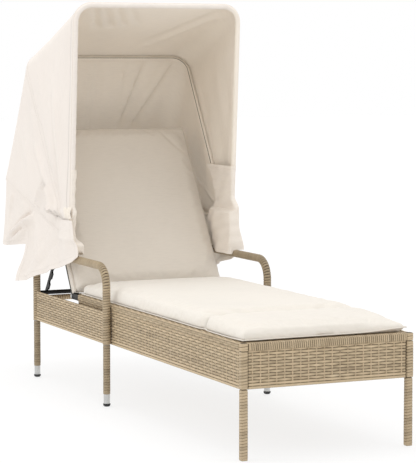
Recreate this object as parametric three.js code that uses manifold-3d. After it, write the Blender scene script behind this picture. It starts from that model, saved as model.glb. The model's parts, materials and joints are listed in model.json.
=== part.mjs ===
// Sun lounger with a folding canopy. Millimetres; X across, Y from the foot end to the head end, Z up.
import * as THREE from "three";
import { mergeVertices } from "three/addons/utils/BufferGeometryUtils.js";
import Module from "manifold-3d";

const wasm = await Module();
wasm.setup();

// Fits
const seatGap = 0.3;
const pinPlay = 0.3;
const clothGap = 0.7;
const ridgeGap = 1.6;
const weldTolerance = 0.001;

// Seat box
const seatHalfWidth = 277.5;
const seatLength = 1288;
const railWidth = 22;
const railTop = 333;
const railBottom = 310;
const railCorner = 4;
const bandBottom = 202;
const apronThickness = 8;
const apronRecess = 2.5;
const beadProud = 1.5;
const beadHeight = 12;
const postWidth = 20;
const frontLegWidth = 19.5;
const legCorner = 3;
const deckThickness = 4;
const crossBarSize = 20;
const crossBarShares = [0.34, 0.67];

// Arm frames
const armTube = 26;
const armX = seatHalfWidth + seatGap + armTube / 2;
const midLegInset = 298;
const rearLegReach = 372;
const midLegY = seatLength - midLegInset;
const rearLegY = seatLength + rearLegReach;
const armTop = 468;
const armBend = 65;
const armBeadWidth = 14;
const armBeadHeight = 16;
const footBeadWidth = 12;
const armBandTop = 309;
const armBandBottom = 204;

// Lower legs and feet
const legTube = 20.6;
const sleeveOuter = 23.4;
const sleeveInner = legTube + 2 * pinPlay;
const tipTop = 40;
const capOuter = 24;
const capHeight = 14;
const capFloor = 5.7;
const capEdge = 2;

// Rear stretcher and catch bar
const stretcherTube = 20;
const stretcherZ = 281.5;
const catchTube = 15;
const catchZ = 301;

// Backrest
const hingeReach = 60;
const hingeY = seatLength + hingeReach;
const hingeZ = 322;
const raisedAngle = THREE.MathUtils.degToRad(58);
const stileWidth = 20;
const stileDepth = 20;
const stileInset = 5.5;
const stileOuterX = seatHalfWidth - stileInset;
const backLength = 600;
const backRailNear = 20;
const panelThickness = 2.2;
const hingePin = 8;
const hingePinHead = 13;
const hingeHeadHeight = 2;
const plateThickness = 4;
const plateHeight = 19;
const flangeReach = 18;

// Prop
const propAt = 262;
const propDrop = 3;
const propDepth = 20;
const propThickness = 6;
const propSideGap = 0.7;
const propTail = 13;
const propRelaxAngle = THREE.MathUtils.degToRad(110.3);
const propRodAt = 120;
const propRod = 10;
const catchBite = 4.5;
const catchClearance = 2;
const notchSpacing = 50;
const notchCount = 4;
const notchDepth = 8;
const notchMouth = 21;
const pinHeadHeight = 1.6;

// Canopy frame
const pivotReach = 4;
const pivotY = seatLength + pivotReach;
const pivotZ = 505;
const bowTube = 14;
const bowOffset = 6.7;
const bowX = armX + bowOffset;
const bowCorner = 55;
const bowStart = 78;
const strapThickness = 3;
const strapWidth = 18;
const strapEnd = 112;
const frontBowAngle = THREE.MathUtils.degToRad(94);
const midBowAngle = THREE.MathUtils.degToRad(56.3);
const rearBowAngle = THREE.MathUtils.degToRad(16.5);
const frontBowReach = 804;
const midBowReach = 754;
const rearBowReach = 688;
const midBowSpread = 9.5;
const rearBowSpread = 13.5;
const frontBowTopX = bowX;
const midBowTopX = bowX + midBowSpread;
const rearBowTopX = bowX + rearBowSpread;
const pivotBolt = 8;
const saddleWall = 3;
const saddleLength = 40;
const uprightThickness = 4;
const uprightRound = 12;
const boltHead = 14;
const boltHeadHeight = 2.2;
const knobSize = 20;
const knobHeight = 1.4;
const bowCount = 3;

// Canopy cloth
const clothThickness = 3;
const clothX = bowX + bowTube / 2 + clothGap;
const clothCorner = bowCorner + bowTube / 2 + clothGap;
const clothNearPivot = 70;
const roofSag = 3;
const sideSag = 5;
const curtainHangBack = 38.3;
const curtainRearY = pivotY + rearBowReach * Math.cos(rearBowAngle) + curtainHangBack;
const curtainRearZ = 452;
const curtainTail = 258;
const curtainStepY = curtainRearY - curtainTail;
const curtainStepZ = 458;
const curtainStepRun = 5;
const skirtRearZ = 334;
const skirtFrontReach = 36;
const skirtFrontY = pivotY - skirtFrontReach;
const skirtFrontZ = 469;
const skirtFrontTop = 520;
const skirtFlare = 7;
const skirtBelly = 14;
const sideFoldDepth = 9;
const sideFoldCount = 4;
const backFoldDepth = 10;
const backFoldCount = 5;
const curtainSeam = 2;

// Cushions
const seatCushionInset = 9.5;
const backCushionInset = 7.5;
const seatCushionHalf = seatHalfWidth - seatCushionInset;
const backCushionHalf = seatHalfWidth - backCushionInset;
const cushionHeight = 50;
const seatCushionFront = 17;
const seatCushionRearInset = 1;
const seatCushionRear = seatLength - seatCushionRearInset;
const backCushionBottom = -3;
const backCushionOverhang = 28;
const backCushionTop = backLength + backCushionOverhang;
const backCushionHeight = 54;
const cushionSeamBand = 3;
const cushionSeamShare = 0.32;
const cushionDrawIn = 6;
const seamLineY = 300;
const seamLineWidth = 14;
const seamLineDepthShare = 0.3;
const crownPowerShares = { across: 5, along: 14, floor: 24, rise: 0.45 };

// Resolution
const roundSides = 16;
const bowSides = 12;
const bendSteps = 7;
const cornerSteps = 6;
const cornerArcs = 2;
const roundArcs = 6;

// Materials
const rattan = (name, color) =>
  new THREE.MeshStandardMaterial({ name, color, roughness: 0.75, metalness: 0 });
const rattanLight = rattan("rattan", 0xb5a37f);
const rattanPanel = rattan("weave", 0xac9873);
const blackSteel = new THREE.MeshStandardMaterial({
  name: "black_steel",
  color: 0x151515,
  roughness: 0.45,
  metalness: 0.6,
});
const darkSteel = new THREE.MeshStandardMaterial({
  name: "frame_steel",
  color: 0x55503f,
  roughness: 0.6,
  metalness: 0.3,
});
const bareMetal = new THREE.MeshStandardMaterial({
  name: "bare_metal",
  color: 0xbfbfbd,
  roughness: 0.35,
  metalness: 0.9,
});
const blackPlastic = new THREE.MeshStandardMaterial({
  name: "black_plastic",
  color: 0x1c1c1c,
  roughness: 0.6,
  metalness: 0,
});
const canopyFabric = new THREE.MeshStandardMaterial({
  name: "canopy_fabric",
  color: 0xeee6da,
  roughness: 0.9,
  metalness: 0,
});
const cushionFabric = new THREE.MeshStandardMaterial({
  name: "cushion_fabric",
  color: 0xf4efe4,
  roughness: 0.9,
  metalness: 0,
});

// Solid helpers
function toSolid(geometry) {
  const loose = geometry.index ? geometry.toNonIndexed() : geometry;
  const bare = new THREE.BufferGeometry();
  bare.setAttribute("position", loose.getAttribute("position"));
  const merged = mergeVertices(bare, weldTolerance);
  return new wasm.Manifold(
    new wasm.Mesh({
      numProp: 3,
      vertProperties: merged.attributes.position.array,
      triVerts: new Uint32Array(merged.index.array),
    }),
  );
}

function toGeometry(solid) {
  const mesh = solid.getMesh();
  const geometry = new THREE.BufferGeometry();
  geometry.setAttribute("position", new THREE.BufferAttribute(mesh.vertProperties, mesh.numProp));
  geometry.setIndex(new THREE.BufferAttribute(mesh.triVerts, 1));
  geometry.computeVertexNormals();
  return geometry;
}

function joined(...geometries) {
  return toGeometry(geometries.map(toSolid).reduce((a, b) => a.add(b)));
}

function roundedRect(width, height, corner) {
  const shape = new THREE.Shape();
  const a = width / 2;
  const b = height / 2;
  shape.moveTo(-a + corner, -b);
  shape.lineTo(a - corner, -b);
  shape.absarc(a - corner, -b + corner, corner, -Math.PI / 2, 0, false);
  shape.lineTo(a, b - corner);
  shape.absarc(a - corner, b - corner, corner, 0, Math.PI / 2, false);
  shape.lineTo(-a + corner, b);
  shape.absarc(-a + corner, b - corner, corner, Math.PI / 2, Math.PI, false);
  shape.lineTo(-a, -b + corner);
  shape.absarc(-a + corner, -b + corner, corner, Math.PI, Math.PI * 1.5, false);
  return shape;
}

const axisX = new THREE.Vector3(1, 0, 0);
const axisY = new THREE.Vector3(0, 1, 0);
const axisZ = new THREE.Vector3(0, 0, 1);
const outlineYZ = new THREE.Matrix4().makeBasis(axisY, axisZ, axisX);
const outlineXZ = new THREE.Matrix4().makeBasis(axisX, axisZ, axisY.clone().negate());

// An outline drawn in Y and Z, extruded across X and centred on it.
function acrossX(shape, width, arcs = cornerArcs) {
  const geometry = new THREE.ExtrudeGeometry(shape, {
    depth: width,
    bevelEnabled: false,
    curveSegments: arcs,
  });
  return geometry.translate(0, 0, -width / 2).applyMatrix4(outlineYZ);
}

// An outline drawn in X and Z, extruded along Y and centred on it.
function alongY(shape, length, arcs = cornerArcs) {
  const geometry = new THREE.ExtrudeGeometry(shape, {
    depth: length,
    bevelEnabled: false,
    curveSegments: arcs,
  });
  return geometry.translate(0, 0, -length / 2).applyMatrix4(outlineXZ);
}

function roundAcrossX(diameter, width, sides = roundSides) {
  return new THREE.CylinderGeometry(diameter / 2, diameter / 2, width, sides).rotateZ(Math.PI / 2);
}

// A path through given stations, each with its own direction.
class StationPath extends THREE.Curve {
  constructor(points, tangents) {
    super();
    this.points = points;
    this.tangents = tangents;
  }
  pick(list, t) {
    return list[Math.round(t * (list.length - 1))].clone();
  }
  getPoint(t) {
    return this.pick(this.points, t);
  }
  getPointAt(t) {
    return this.pick(this.points, t);
  }
  getTangentAt(t) {
    return this.pick(this.tangents, t);
  }
}

// A round tube that follows straight runs joined by bends of one radius.
function bentTube(corners, bend, diameter, sides, steps) {
  const points = [];
  const tangents = [];
  const put = (point, tangent) => {
    points.push(point.clone());
    tangents.push(tangent.clone());
  };
  const heading = (k) => corners[k + 1].clone().sub(corners[k]).normalize();
  put(corners[0], heading(0));
  for (let k = 1; k < corners.length - 1; k += 1) {
    const before = heading(k - 1);
    const after = heading(k);
    const turn = before.angleTo(after);
    const setback = bend * Math.tan(turn / 2);
    const start = corners[k].clone().addScaledVector(before, -setback);
    const side = after.clone().addScaledVector(before, -after.dot(before)).normalize();
    const centre = start.clone().addScaledVector(side, bend);
    for (let n = 0; n <= steps; n += 1) {
      const angle = (turn * n) / steps;
      const point = centre
        .clone()
        .addScaledVector(side, -bend * Math.cos(angle))
        .addScaledVector(before, bend * Math.sin(angle));
      const tangent = before
        .clone()
        .multiplyScalar(Math.cos(angle))
        .addScaledVector(side, Math.sin(angle));
      put(point, tangent);
    }
  }
  put(corners[corners.length - 1], heading(corners.length - 2));
  const section = new THREE.Shape().absarc(0, 0, diameter / 2, 0, Math.PI * 2, false);
  return new THREE.ExtrudeGeometry(section, {
    steps: points.length - 1,
    curveSegments: sides,
    extrudePath: new StationPath(points, tangents),
  });
}

// A closed body between two grids of points, the first one facing out.
function between(outer, inner) {
  const rows = outer.length;
  const cols = outer[0].length;
  const at = (side, i, j) => (side * rows + i) * cols + j;
  const index = [];
  const quad = (a, b, c, d) => index.push(a, b, c, a, c, d);
  const lastRow = rows - 1;
  const lastCol = cols - 1;
  for (let i = 0; i < lastRow; i += 1) {
    for (let j = 0; j < lastCol; j += 1) {
      quad(at(0, i, j), at(0, i + 1, j), at(0, i + 1, j + 1), at(0, i, j + 1));
      quad(at(1, i, j), at(1, i, j + 1), at(1, i + 1, j + 1), at(1, i + 1, j));
    }
    quad(at(0, i, 0), at(1, i, 0), at(1, i + 1, 0), at(0, i + 1, 0));
    quad(at(0, i, lastCol), at(0, i + 1, lastCol), at(1, i + 1, lastCol), at(1, i, lastCol));
  }
  for (let j = 0; j < lastCol; j += 1) {
    quad(at(0, 0, j), at(0, 0, j + 1), at(1, 0, j + 1), at(1, 0, j));
    quad(at(0, lastRow, j), at(1, lastRow, j), at(1, lastRow, j + 1), at(0, lastRow, j + 1));
  }
  const geometry = new THREE.BufferGeometry().setFromPoints([...outer.flat(), ...inner.flat()]);
  geometry.setIndex(index);
  geometry.computeVertexNormals();
  return geometry;
}

// The same grid moved out along its own normals.
function offsetGrid(grid, distance) {
  const lastRow = grid.length - 1;
  const lastCol = grid[0].length - 1;
  return grid.map((row, i) =>
    row.map((point, j) => {
      const down = grid[Math.min(i + 1, lastRow)][j].clone().sub(grid[Math.max(i - 1, 0)][j]);
      const across = grid[i][Math.min(j + 1, lastCol)].clone().sub(grid[i][Math.max(j - 1, 0)]);
      return point.clone().addScaledVector(down.cross(across).normalize(), distance);
    }),
  );
}

const spread = (count, from, to) =>
  Array.from({ length: count + 1 }, (_, k) => from + ((to - from) * k) / count);

const mix = THREE.MathUtils.lerp;

// Assembly
const lounger = new THREE.Group();
lounger.name = "sun_lounger";
const frame = new THREE.Group();
frame.position.y = -curtainRearY / 2;
lounger.add(frame);

function place(parent, name, geometry, material, x = 0, y = 0, z = 0) {
  const mesh = new THREE.Mesh(geometry, material);
  mesh.name = name;
  mesh.position.set(x, y, z);
  parent.add(mesh);
  return mesh;
}

const sides = [
  { name: "left", sign: -1 },
  { name: "right", sign: 1 },
];

// Seat rails
const railHeight = railTop - railBottom;
const railZ = (railTop + railBottom) / 2;
const railSection = roundedRect(railWidth, railHeight, railCorner);
const railInnerX = seatHalfWidth - railWidth;
const crossSpan = 2 * (railInnerX - seatGap);
place(
  frame,
  "front_rail",
  acrossX(railSection, 2 * seatHalfWidth),
  rattanLight,
  0,
  railWidth / 2,
  railZ,
);
place(
  frame,
  "rear_rail",
  acrossX(railSection, crossSpan),
  rattanLight,
  0,
  seatLength - railWidth / 2,
  railZ,
);
const sideRailStart = railWidth + seatGap;
const sideRailLength = seatLength - sideRailStart;
for (const { name, sign } of sides) {
  place(
    frame,
    "side_rail_" + name,
    alongY(railSection, sideRailLength),
    rattanLight,
    sign * (seatHalfWidth - railWidth / 2),
    sideRailStart + sideRailLength / 2,
    railZ,
  );
}

// Seat deck and the bars under it
const deckStart = railWidth + seatGap;
const deckEnd = seatLength - railWidth - seatGap;
const deckZ = railTop - seatGap - deckThickness / 2;
place(
  frame,
  "seat_deck",
  new THREE.BoxGeometry(crossSpan, deckEnd - deckStart, deckThickness),
  rattanPanel,
  0,
  (deckStart + deckEnd) / 2,
  deckZ,
);
crossBarShares.forEach((share, k) => {
  place(
    frame,
    "cross_bar_" + (k + 1),
    acrossX(roundedRect(crossBarSize, crossBarSize, legCorner), crossSpan),
    darkSteel,
    0,
    seatLength * share,
    deckZ - deckThickness / 2 - seatGap - crossBarSize / 2,
  );
});

// Woven walls of the seat box, with a bead along the lower edge
function apronOutline(face, height) {
  const shape = new THREE.Shape();
  const half = apronThickness / 2;
  const proud = half + beadProud;
  shape.moveTo(-face * half, height);
  shape.lineTo(-face * half, 0);
  shape.lineTo(face * proud, 0);
  shape.lineTo(face * proud, beadHeight);
  shape.lineTo(face * half, beadHeight + beadProud);
  shape.lineTo(face * half, height);
  return shape;
}
const apronHeight = railBottom - seatGap - bandBottom;
const apronFaceX = seatHalfWidth - apronRecess - apronThickness / 2;
place(
  frame,
  "front_apron",
  acrossX(apronOutline(-1, apronHeight), 2 * (seatHalfWidth - postWidth - apronRecess)),
  rattanPanel,
  0,
  apronRecess + apronThickness / 2,
  bandBottom,
);
const sideApronStart = postWidth + 2 * seatGap;
const sideApronLength = seatLength - sideApronStart;
for (const { name, sign } of sides) {
  place(
    frame,
    "side_apron_" + name,
    alongY(apronOutline(sign, apronHeight), sideApronLength),
    rattanPanel,
    sign * apronFaceX,
    sideApronStart + sideApronLength / 2,
    bandBottom,
  );
}

// Corner posts and front legs
for (const { name, sign } of sides) {
  const post = new THREE.ExtrudeGeometry(roundedRect(postWidth, postWidth, legCorner), {
    depth: apronHeight - seatGap,
    bevelEnabled: false,
    curveSegments: cornerArcs,
  });
  place(
    frame,
    "corner_post_" + name,
    post,
    rattanLight,
    sign * (seatHalfWidth - seatGap - postWidth / 2),
    seatGap + postWidth / 2,
    bandBottom + seatGap,
  );
  const leg = new THREE.ExtrudeGeometry(roundedRect(frontLegWidth, frontLegWidth, legCorner), {
    depth: bandBottom - seatGap,
    bevelEnabled: false,
    curveSegments: cornerArcs,
  });
  place(
    frame,
    "front_leg_" + name,
    leg,
    rattanLight,
    sign * (seatHalfWidth - railWidth / 2),
    railWidth / 2,
    0,
  );
}

// Arm frames: middle leg, armrest and rear leg in one bent tube
const armZ = armTop - armTube / 2;
const tubeFoot = bandBottom + seatGap;
const armOutline = (x) => [
  new THREE.Vector3(x, midLegY, tubeFoot),
  new THREE.Vector3(x, midLegY, armZ),
  new THREE.Vector3(x, rearLegY, armZ),
  new THREE.Vector3(x, rearLegY, tubeFoot),
];
function armBandOutline() {
  const shape = new THREE.Shape();
  const web = apronThickness / 2;
  const top = armBeadWidth / 2;
  const foot = footBeadWidth / 2;
  const height = armBandTop - armBandBottom;
  shape.moveTo(-foot, 0);
  shape.lineTo(foot, 0);
  shape.lineTo(foot, beadHeight);
  shape.lineTo(web, beadHeight + beadProud);
  shape.lineTo(web, height - armBeadHeight - beadProud);
  shape.lineTo(top, height - armBeadHeight);
  shape.lineTo(top, height - railCorner);
  shape.lineTo(top - railCorner, height);
  shape.lineTo(-top + railCorner, height);
  shape.lineTo(-top, height - railCorner);
  shape.lineTo(-top, height - armBeadHeight);
  shape.lineTo(-web, height - armBeadHeight - beadProud);
  shape.lineTo(-web, beadHeight + beadProud);
  shape.lineTo(-foot, beadHeight);
  return shape;
}
const bandStart = midLegY + armTube / 2 + seatGap;
const bandEnd = rearLegY - armTube / 2 - seatGap;
const capProfile = [
  [0, 0],
  [capOuter / 2 - capEdge, 0],
  [capOuter / 2, capEdge],
  [capOuter / 2, capHeight],
  [sleeveInner / 2, capHeight],
  [sleeveInner / 2, capFloor],
  [0, capFloor],
].map(([r, h]) => new THREE.Vector2(r, h));
const sleeveProfile = [
  [sleeveInner / 2, tipTop],
  [sleeveOuter / 2, tipTop],
  [sleeveOuter / 2, bandBottom],
  [sleeveInner / 2, bandBottom],
  [sleeveInner / 2, tipTop],
].map(([r, h]) => new THREE.Vector2(r, h));
const legFoot = capFloor + seatGap;
for (const { name, sign } of sides) {
  const x = sign * armX;
  place(
    frame,
    "arm_tube_" + name,
    bentTube(armOutline(x), armBend, armTube, roundSides, bendSteps),
    rattanLight,
  );
  place(
    frame,
    "arm_band_" + name,
    alongY(armBandOutline(), bandEnd - bandStart),
    rattanPanel,
    x,
    (bandStart + bandEnd) / 2,
    armBandBottom,
  );
  for (const [leg, y] of [
    ["mid", midLegY],
    ["rear", rearLegY],
  ]) {
    const tag = leg + "_" + name;
    const tubeLength = bandBottom - legFoot;
    place(
      frame,
      "leg_tube_" + tag,
      new THREE.CylinderGeometry(legTube / 2, legTube / 2, tubeLength, roundSides).rotateX(
        Math.PI / 2,
      ),
      bareMetal,
      x,
      y,
      legFoot + tubeLength / 2,
    );
    place(
      frame,
      "leg_sleeve_" + tag,
      new THREE.LatheGeometry(sleeveProfile, roundSides).rotateX(Math.PI / 2),
      rattanLight,
      x,
      y,
    );
    place(
      frame,
      "foot_cap_" + tag,
      new THREE.LatheGeometry(capProfile, roundSides).rotateX(Math.PI / 2),
      blackPlastic,
      x,
      y,
    );
  }
}

// Rear stretcher and catch bar
const rearSpan = 2 * (armX - armTube / 2 - seatGap);
place(
  frame,
  "rear_stretcher",
  roundAcrossX(stretcherTube, rearSpan),
  rattanLight,
  0,
  rearLegY,
  stretcherZ,
);
place(frame, "catch_bar", roundAcrossX(catchTube, rearSpan), blackSteel, 0, rearLegY, catchZ);

// Backrest frame
const backrest = new THREE.Group();
backrest.position.set(0, hingeY, hingeZ);
backrest.rotation.x = raisedAngle;
frame.add(backrest);

const holeIn = (y, z, diameter) => {
  const hole = new THREE.Path();
  hole.absarc(y, z, diameter / 2 + pinPlay, 0, Math.PI * 2, true);
  return hole;
};
function stileOutline() {
  const shape = new THREE.Shape();
  const half = stileDepth / 2;
  shape.moveTo(0, -half);
  shape.lineTo(backLength, -half);
  shape.lineTo(backLength, half);
  shape.lineTo(0, half);
  shape.absarc(0, 0, half, Math.PI / 2, Math.PI * 1.5, false);
  shape.holes.push(holeIn(0, 0, hingePin), holeIn(propAt, -propDrop, hingePin));
  return shape;
}
const stileInnerX = stileOuterX - stileWidth;
const backSpan = 2 * (stileInnerX - seatGap);
for (const { name, sign } of sides) {
  place(
    backrest,
    "back_stile_" + name,
    acrossX(stileOutline(), stileWidth, roundArcs),
    darkSteel,
    sign * (stileOuterX - stileWidth / 2),
  );
}
const backRail = roundedRect(stileWidth, stileDepth, legCorner);
place(
  backrest,
  "back_bottom_rail",
  acrossX(backRail, backSpan),
  darkSteel,
  0,
  backRailNear + stileWidth / 2,
);
place(
  backrest,
  "back_top_rail",
  acrossX(backRail, backSpan),
  darkSteel,
  0,
  backLength - stileWidth / 2,
);
const panelStart = backRailNear + stileWidth + seatGap;
const panelEnd = backLength - stileWidth - seatGap;
place(
  backrest,
  "back_panel",
  new THREE.BoxGeometry(backSpan, panelEnd - panelStart, panelThickness),
  rattanPanel,
  0,
  (panelStart + panelEnd) / 2,
  stileDepth / 2 - seatGap - panelThickness / 2,
);

// Hinge plates on the end of the seat rails, and their pins
const plateRound = plateHeight / 2;
const plateFoot = seatLength + seatGap;
function hingePlate() {
  const shape = new THREE.Shape();
  shape.moveTo(hingeY, plateRound);
  shape.lineTo(plateFoot, plateRound);
  shape.lineTo(plateFoot, -plateRound);
  shape.lineTo(hingeY, -plateRound);
  shape.absarc(hingeY, 0, plateRound, -Math.PI / 2, Math.PI / 2, false);
  shape.holes.push(holeIn(hingeY, 0, hingePin));
  const plate = acrossX(shape, plateThickness, roundArcs);
  plate.translate(stileOuterX + seatGap + plateThickness / 2, 0, 0);
  const flange = new THREE.BoxGeometry(flangeReach, plateThickness, plateHeight);
  flange.translate(
    stileOuterX + seatGap + plateThickness - flangeReach / 2,
    plateFoot + plateThickness / 2,
    0,
  );
  return joined(plate, flange);
}
// A pin turned about the X axis, from [reach, radius] steps along it.
function turnedAcrossX(steps) {
  const profile = steps.map(([reach, radius]) => new THREE.Vector2(radius, reach));
  return new THREE.LatheGeometry(profile, roundSides).rotateZ(-Math.PI / 2);
}
const hingeHeadX = stileOuterX + 2 * seatGap + plateThickness;
const hingePinGeometry = turnedAcrossX([
  [stileInnerX + seatGap, 0],
  [stileInnerX + seatGap, hingePin / 2],
  [hingeHeadX, hingePin / 2],
  [hingeHeadX, hingePinHead / 2],
  [hingeHeadX + hingeHeadHeight, hingePinHead / 2],
  [hingeHeadX + hingeHeadHeight, 0],
]);
for (const { name, sign } of sides) {
  const plate = place(frame, "hinge_plate_" + name, hingePlate(), blackSteel, 0, 0, hingeZ);
  plate.scale.x = sign;
  const pin = place(frame, "hinge_pin_" + name, hingePinGeometry, bareMetal, 0, hingeY, hingeZ);
  pin.scale.x = sign;
}

// Notched prop that swings on the stiles
const prop = new THREE.Group();
prop.position.set(0, propAt, -propDrop);
prop.rotation.x = -propRelaxAngle;
backrest.add(prop);

const propPivot = new THREE.Vector2(propAt, -propDrop).rotateAround(new THREE.Vector2(), raisedAngle);
const catchFromPivot = new THREE.Vector2(rearLegY - hingeY, catchZ - hingeZ).sub(propPivot);
const catchOffset = propDepth / 2 + catchTube / 2 - catchBite;
const catchAt = Math.sqrt(catchFromPivot.lengthSq() - catchOffset * catchOffset);
const propInnerX = stileInnerX - propSideGap - propThickness;
function propOutline() {
  const half = propDepth / 2;
  const end = catchAt + catchTube / 2 + propTail;
  const shape = new THREE.Shape();
  shape.moveTo(0, half);
  shape.absarc(0, 0, half, Math.PI / 2, Math.PI * 1.5, false);
  for (let k = notchCount - 1; k >= 0; k -= 1) {
    const ledge = catchAt - catchTube / 2 - catchClearance - k * notchSpacing;
    shape.lineTo(ledge, -half);
    shape.lineTo(ledge, -half + notchDepth);
    shape.lineTo(ledge + notchMouth, -half + notchDepth);
    shape.lineTo(ledge + notchMouth + notchDepth / 2, -half);
  }
  shape.lineTo(end, -half);
  shape.lineTo(end, half);
  shape.holes.push(holeIn(0, 0, hingePin));
  return shape;
}
for (const { name, sign } of sides) {
  place(
    prop,
    "prop_strut_" + name,
    acrossX(propOutline(), propThickness, roundArcs),
    blackSteel,
    sign * (propInnerX + propThickness / 2),
  );
}
place(prop, "prop_rod", roundAcrossX(propRod, 2 * (propInnerX - seatGap)), blackSteel, 0, propRodAt);
const propHeadX = propInnerX - seatGap - pinHeadHeight;
const propPinGeometry = turnedAcrossX([
  [propHeadX, 0],
  [propHeadX, hingePinHead / 2],
  [propHeadX + pinHeadHeight, hingePinHead / 2],
  [propHeadX + pinHeadHeight, hingePin / 2],
  [stileOuterX, hingePin / 2],
  [stileOuterX, 0],
]);
for (const { name, sign } of sides) {
  const pin = place(
    backrest,
    "prop_pin_" + name,
    propPinGeometry,
    bareMetal,
    0,
    propAt,
    -propDrop,
  );
  pin.scale.x = sign;
}

// Canopy brackets on the armrests, with the bolt that the bows turn on
const saddleInner = armTube / 2 + seatGap;
const saddleOuter = saddleInner + saddleWall;
function bracketGeometry() {
  const ring = new THREE.Shape();
  ring.moveTo(saddleOuter, 0);
  ring.absarc(0, 0, saddleOuter, 0, Math.PI, false);
  ring.lineTo(-saddleInner, 0);
  ring.absarc(0, 0, saddleInner, Math.PI, 0, true);
  const saddle = alongY(ring, saddleLength, roundArcs);
  const lift = pivotZ - armZ;
  const half = saddleLength / 2;
  const upright = new THREE.Shape();
  upright.moveTo(-half, saddleInner + saddleWall / 2);
  upright.lineTo(half, saddleInner + saddleWall / 2);
  upright.lineTo(uprightRound, lift);
  upright.absarc(0, lift, uprightRound, 0, Math.PI, false);
  upright.holes.push(holeIn(0, lift, pivotBolt));
  return joined(saddle, acrossX(upright, uprightThickness, roundArcs));
}
const strapX = (layer) =>
  armX + uprightThickness / 2 + seatGap + layer * (strapThickness + seatGap) + strapThickness / 2;
const boltInner = armX - uprightThickness / 2 - seatGap;
const boltOuter = strapX(bowCount - 1) + strapThickness / 2 + seatGap;
const canopyBoltGeometry = turnedAcrossX([
  [boltInner - boltHeadHeight, 0],
  [boltInner - boltHeadHeight, boltHead / 2],
  [boltInner, boltHead / 2],
  [boltInner, pivotBolt / 2],
  [boltOuter, pivotBolt / 2],
  [boltOuter, knobSize / 2],
  [boltOuter + knobHeight, knobSize / 2],
  [boltOuter + knobHeight, 0],
]);
for (const { name, sign } of sides) {
  place(
    frame,
    "canopy_bracket_" + name,
    bracketGeometry(),
    blackSteel,
    sign * armX,
    pivotY,
    armZ,
  );
  const bolt = place(
    frame,
    "canopy_bolt_" + name,
    canopyBoltGeometry,
    blackPlastic,
    0,
    pivotY,
    pivotZ,
  );
  bolt.scale.x = sign;
}

// Bows: a bent tube whose ends are flattened into straps around the bolt
function strapGeometry(x) {
  const half = strapWidth / 2;
  const narrow = bowTube / 2 - seatGap;
  const shape = new THREE.Shape();
  shape.moveTo(0, -half);
  shape.lineTo(bowStart - half, -narrow);
  shape.lineTo(strapEnd, -narrow);
  shape.lineTo(strapEnd, narrow);
  shape.lineTo(bowStart - half, narrow);
  shape.lineTo(0, half);
  shape.absarc(0, 0, half, Math.PI / 2, Math.PI * 1.5, false);
  shape.holes.push(holeIn(0, 0, pivotBolt));
  return acrossX(shape, strapThickness, roundArcs).translate(x, 0, 0);
}
function bowGeometry(reach, topX, layer) {
  const tube = bentTube(
    [
      new THREE.Vector3(-bowX, bowStart, 0),
      new THREE.Vector3(-topX, reach, 0),
      new THREE.Vector3(topX, reach, 0),
      new THREE.Vector3(bowX, bowStart, 0),
    ],
    bowCorner,
    bowTube,
    bowSides,
    bendSteps,
  );
  const x = strapX(layer);
  return joined(tube, strapGeometry(-x), strapGeometry(x));
}
const bows = [
  { name: "front_bow", angle: frontBowAngle, reach: frontBowReach, topX: frontBowTopX },
  { name: "mid_bow", angle: midBowAngle, reach: midBowReach, topX: midBowTopX },
  { name: "rear_bow", angle: rearBowAngle, reach: rearBowReach, topX: rearBowTopX },
];
bows.forEach(({ name, angle, reach, topX }, k) => {
  const bow = place(frame, name, bowGeometry(reach, topX, k), blackSteel, 0, pivotY, pivotZ);
  bow.rotation.x = angle;
});

// Canopy cloth between two bows, from one side over the roof to the other
const clothReach = (reach) => reach + bowTube / 2 + ridgeGap;
const polar = (x, reach, angle) =>
  new THREE.Vector3(x, pivotY + reach * Math.cos(angle), pivotZ + reach * Math.sin(angle));
const legShares = [0, 0.2, 0.4, 0.6, 0.8, 1];
const roofShares = [0.2, 0.4, 0.6, 0.8];
function crossSection(top, half) {
  const flatHalf = half - clothCorner;
  const legEnd = top - clothCorner;
  const right = [];
  for (const share of legShares) {
    right.push([mix(clothX, half, share), mix(clothNearPivot, legEnd, share), share]);
  }
  for (let n = 1; n <= cornerSteps; n += 1) {
    const turn = (Math.PI / 2) * (n / cornerSteps);
    right.push([
      flatHalf + clothCorner * Math.cos(turn),
      legEnd + clothCorner * Math.sin(turn),
      1,
    ]);
  }
  const left = right.map(([x, r, share]) => [-x, r, share]);
  const roof = roofShares.map((share) => [mix(flatHalf, -flatHalf, share), top, 1]);
  return [...right, ...roof, ...left.reverse()];
}
function canopySection(from, to, steps) {
  const start = polar(0, clothReach(from.reach), from.angle);
  const end = polar(0, clothReach(to.reach), to.angle);
  const pivot = new THREE.Vector3(0, pivotY, pivotZ);
  const grid = spread(steps, 0, 1).map((share) => {
    const swell = Math.sin(Math.PI * share);
    const ridge = start.clone().lerp(end, share).sub(pivot);
    const top = ridge.length() - roofSag * swell;
    const half = mix(from.topX, to.topX, share) + bowTube / 2 + clothGap;
    const angle = Math.atan2(ridge.z, ridge.y);
    return crossSection(top, half).map(([x, reach, height]) => {
      const outward = Math.sign(x) * sideSag * swell * Math.sin(Math.PI * height);
      return polar(x + outward, reach, angle);
    });
  });
  return between(offsetGrid(grid, clothThickness), grid);
}
const sectionSteps = 8;
const seamAngle = curtainSeam / rearBowReach;
const [frontBow, midBow, rearBow] = bows;
const midEdge = { ...midBow, angle: midBow.angle + seamAngle };
const midSeam = { ...midBow, angle: midBow.angle - seamAngle };
const rearEdge = { ...rearBow, angle: rearBow.angle + seamAngle };
place(frame, "canopy_front", canopySection(frontBow, midEdge, sectionSteps), canopyFabric);
place(frame, "canopy_back", canopySection(midSeam, rearEdge, sectionSteps), canopyFabric);

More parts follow.
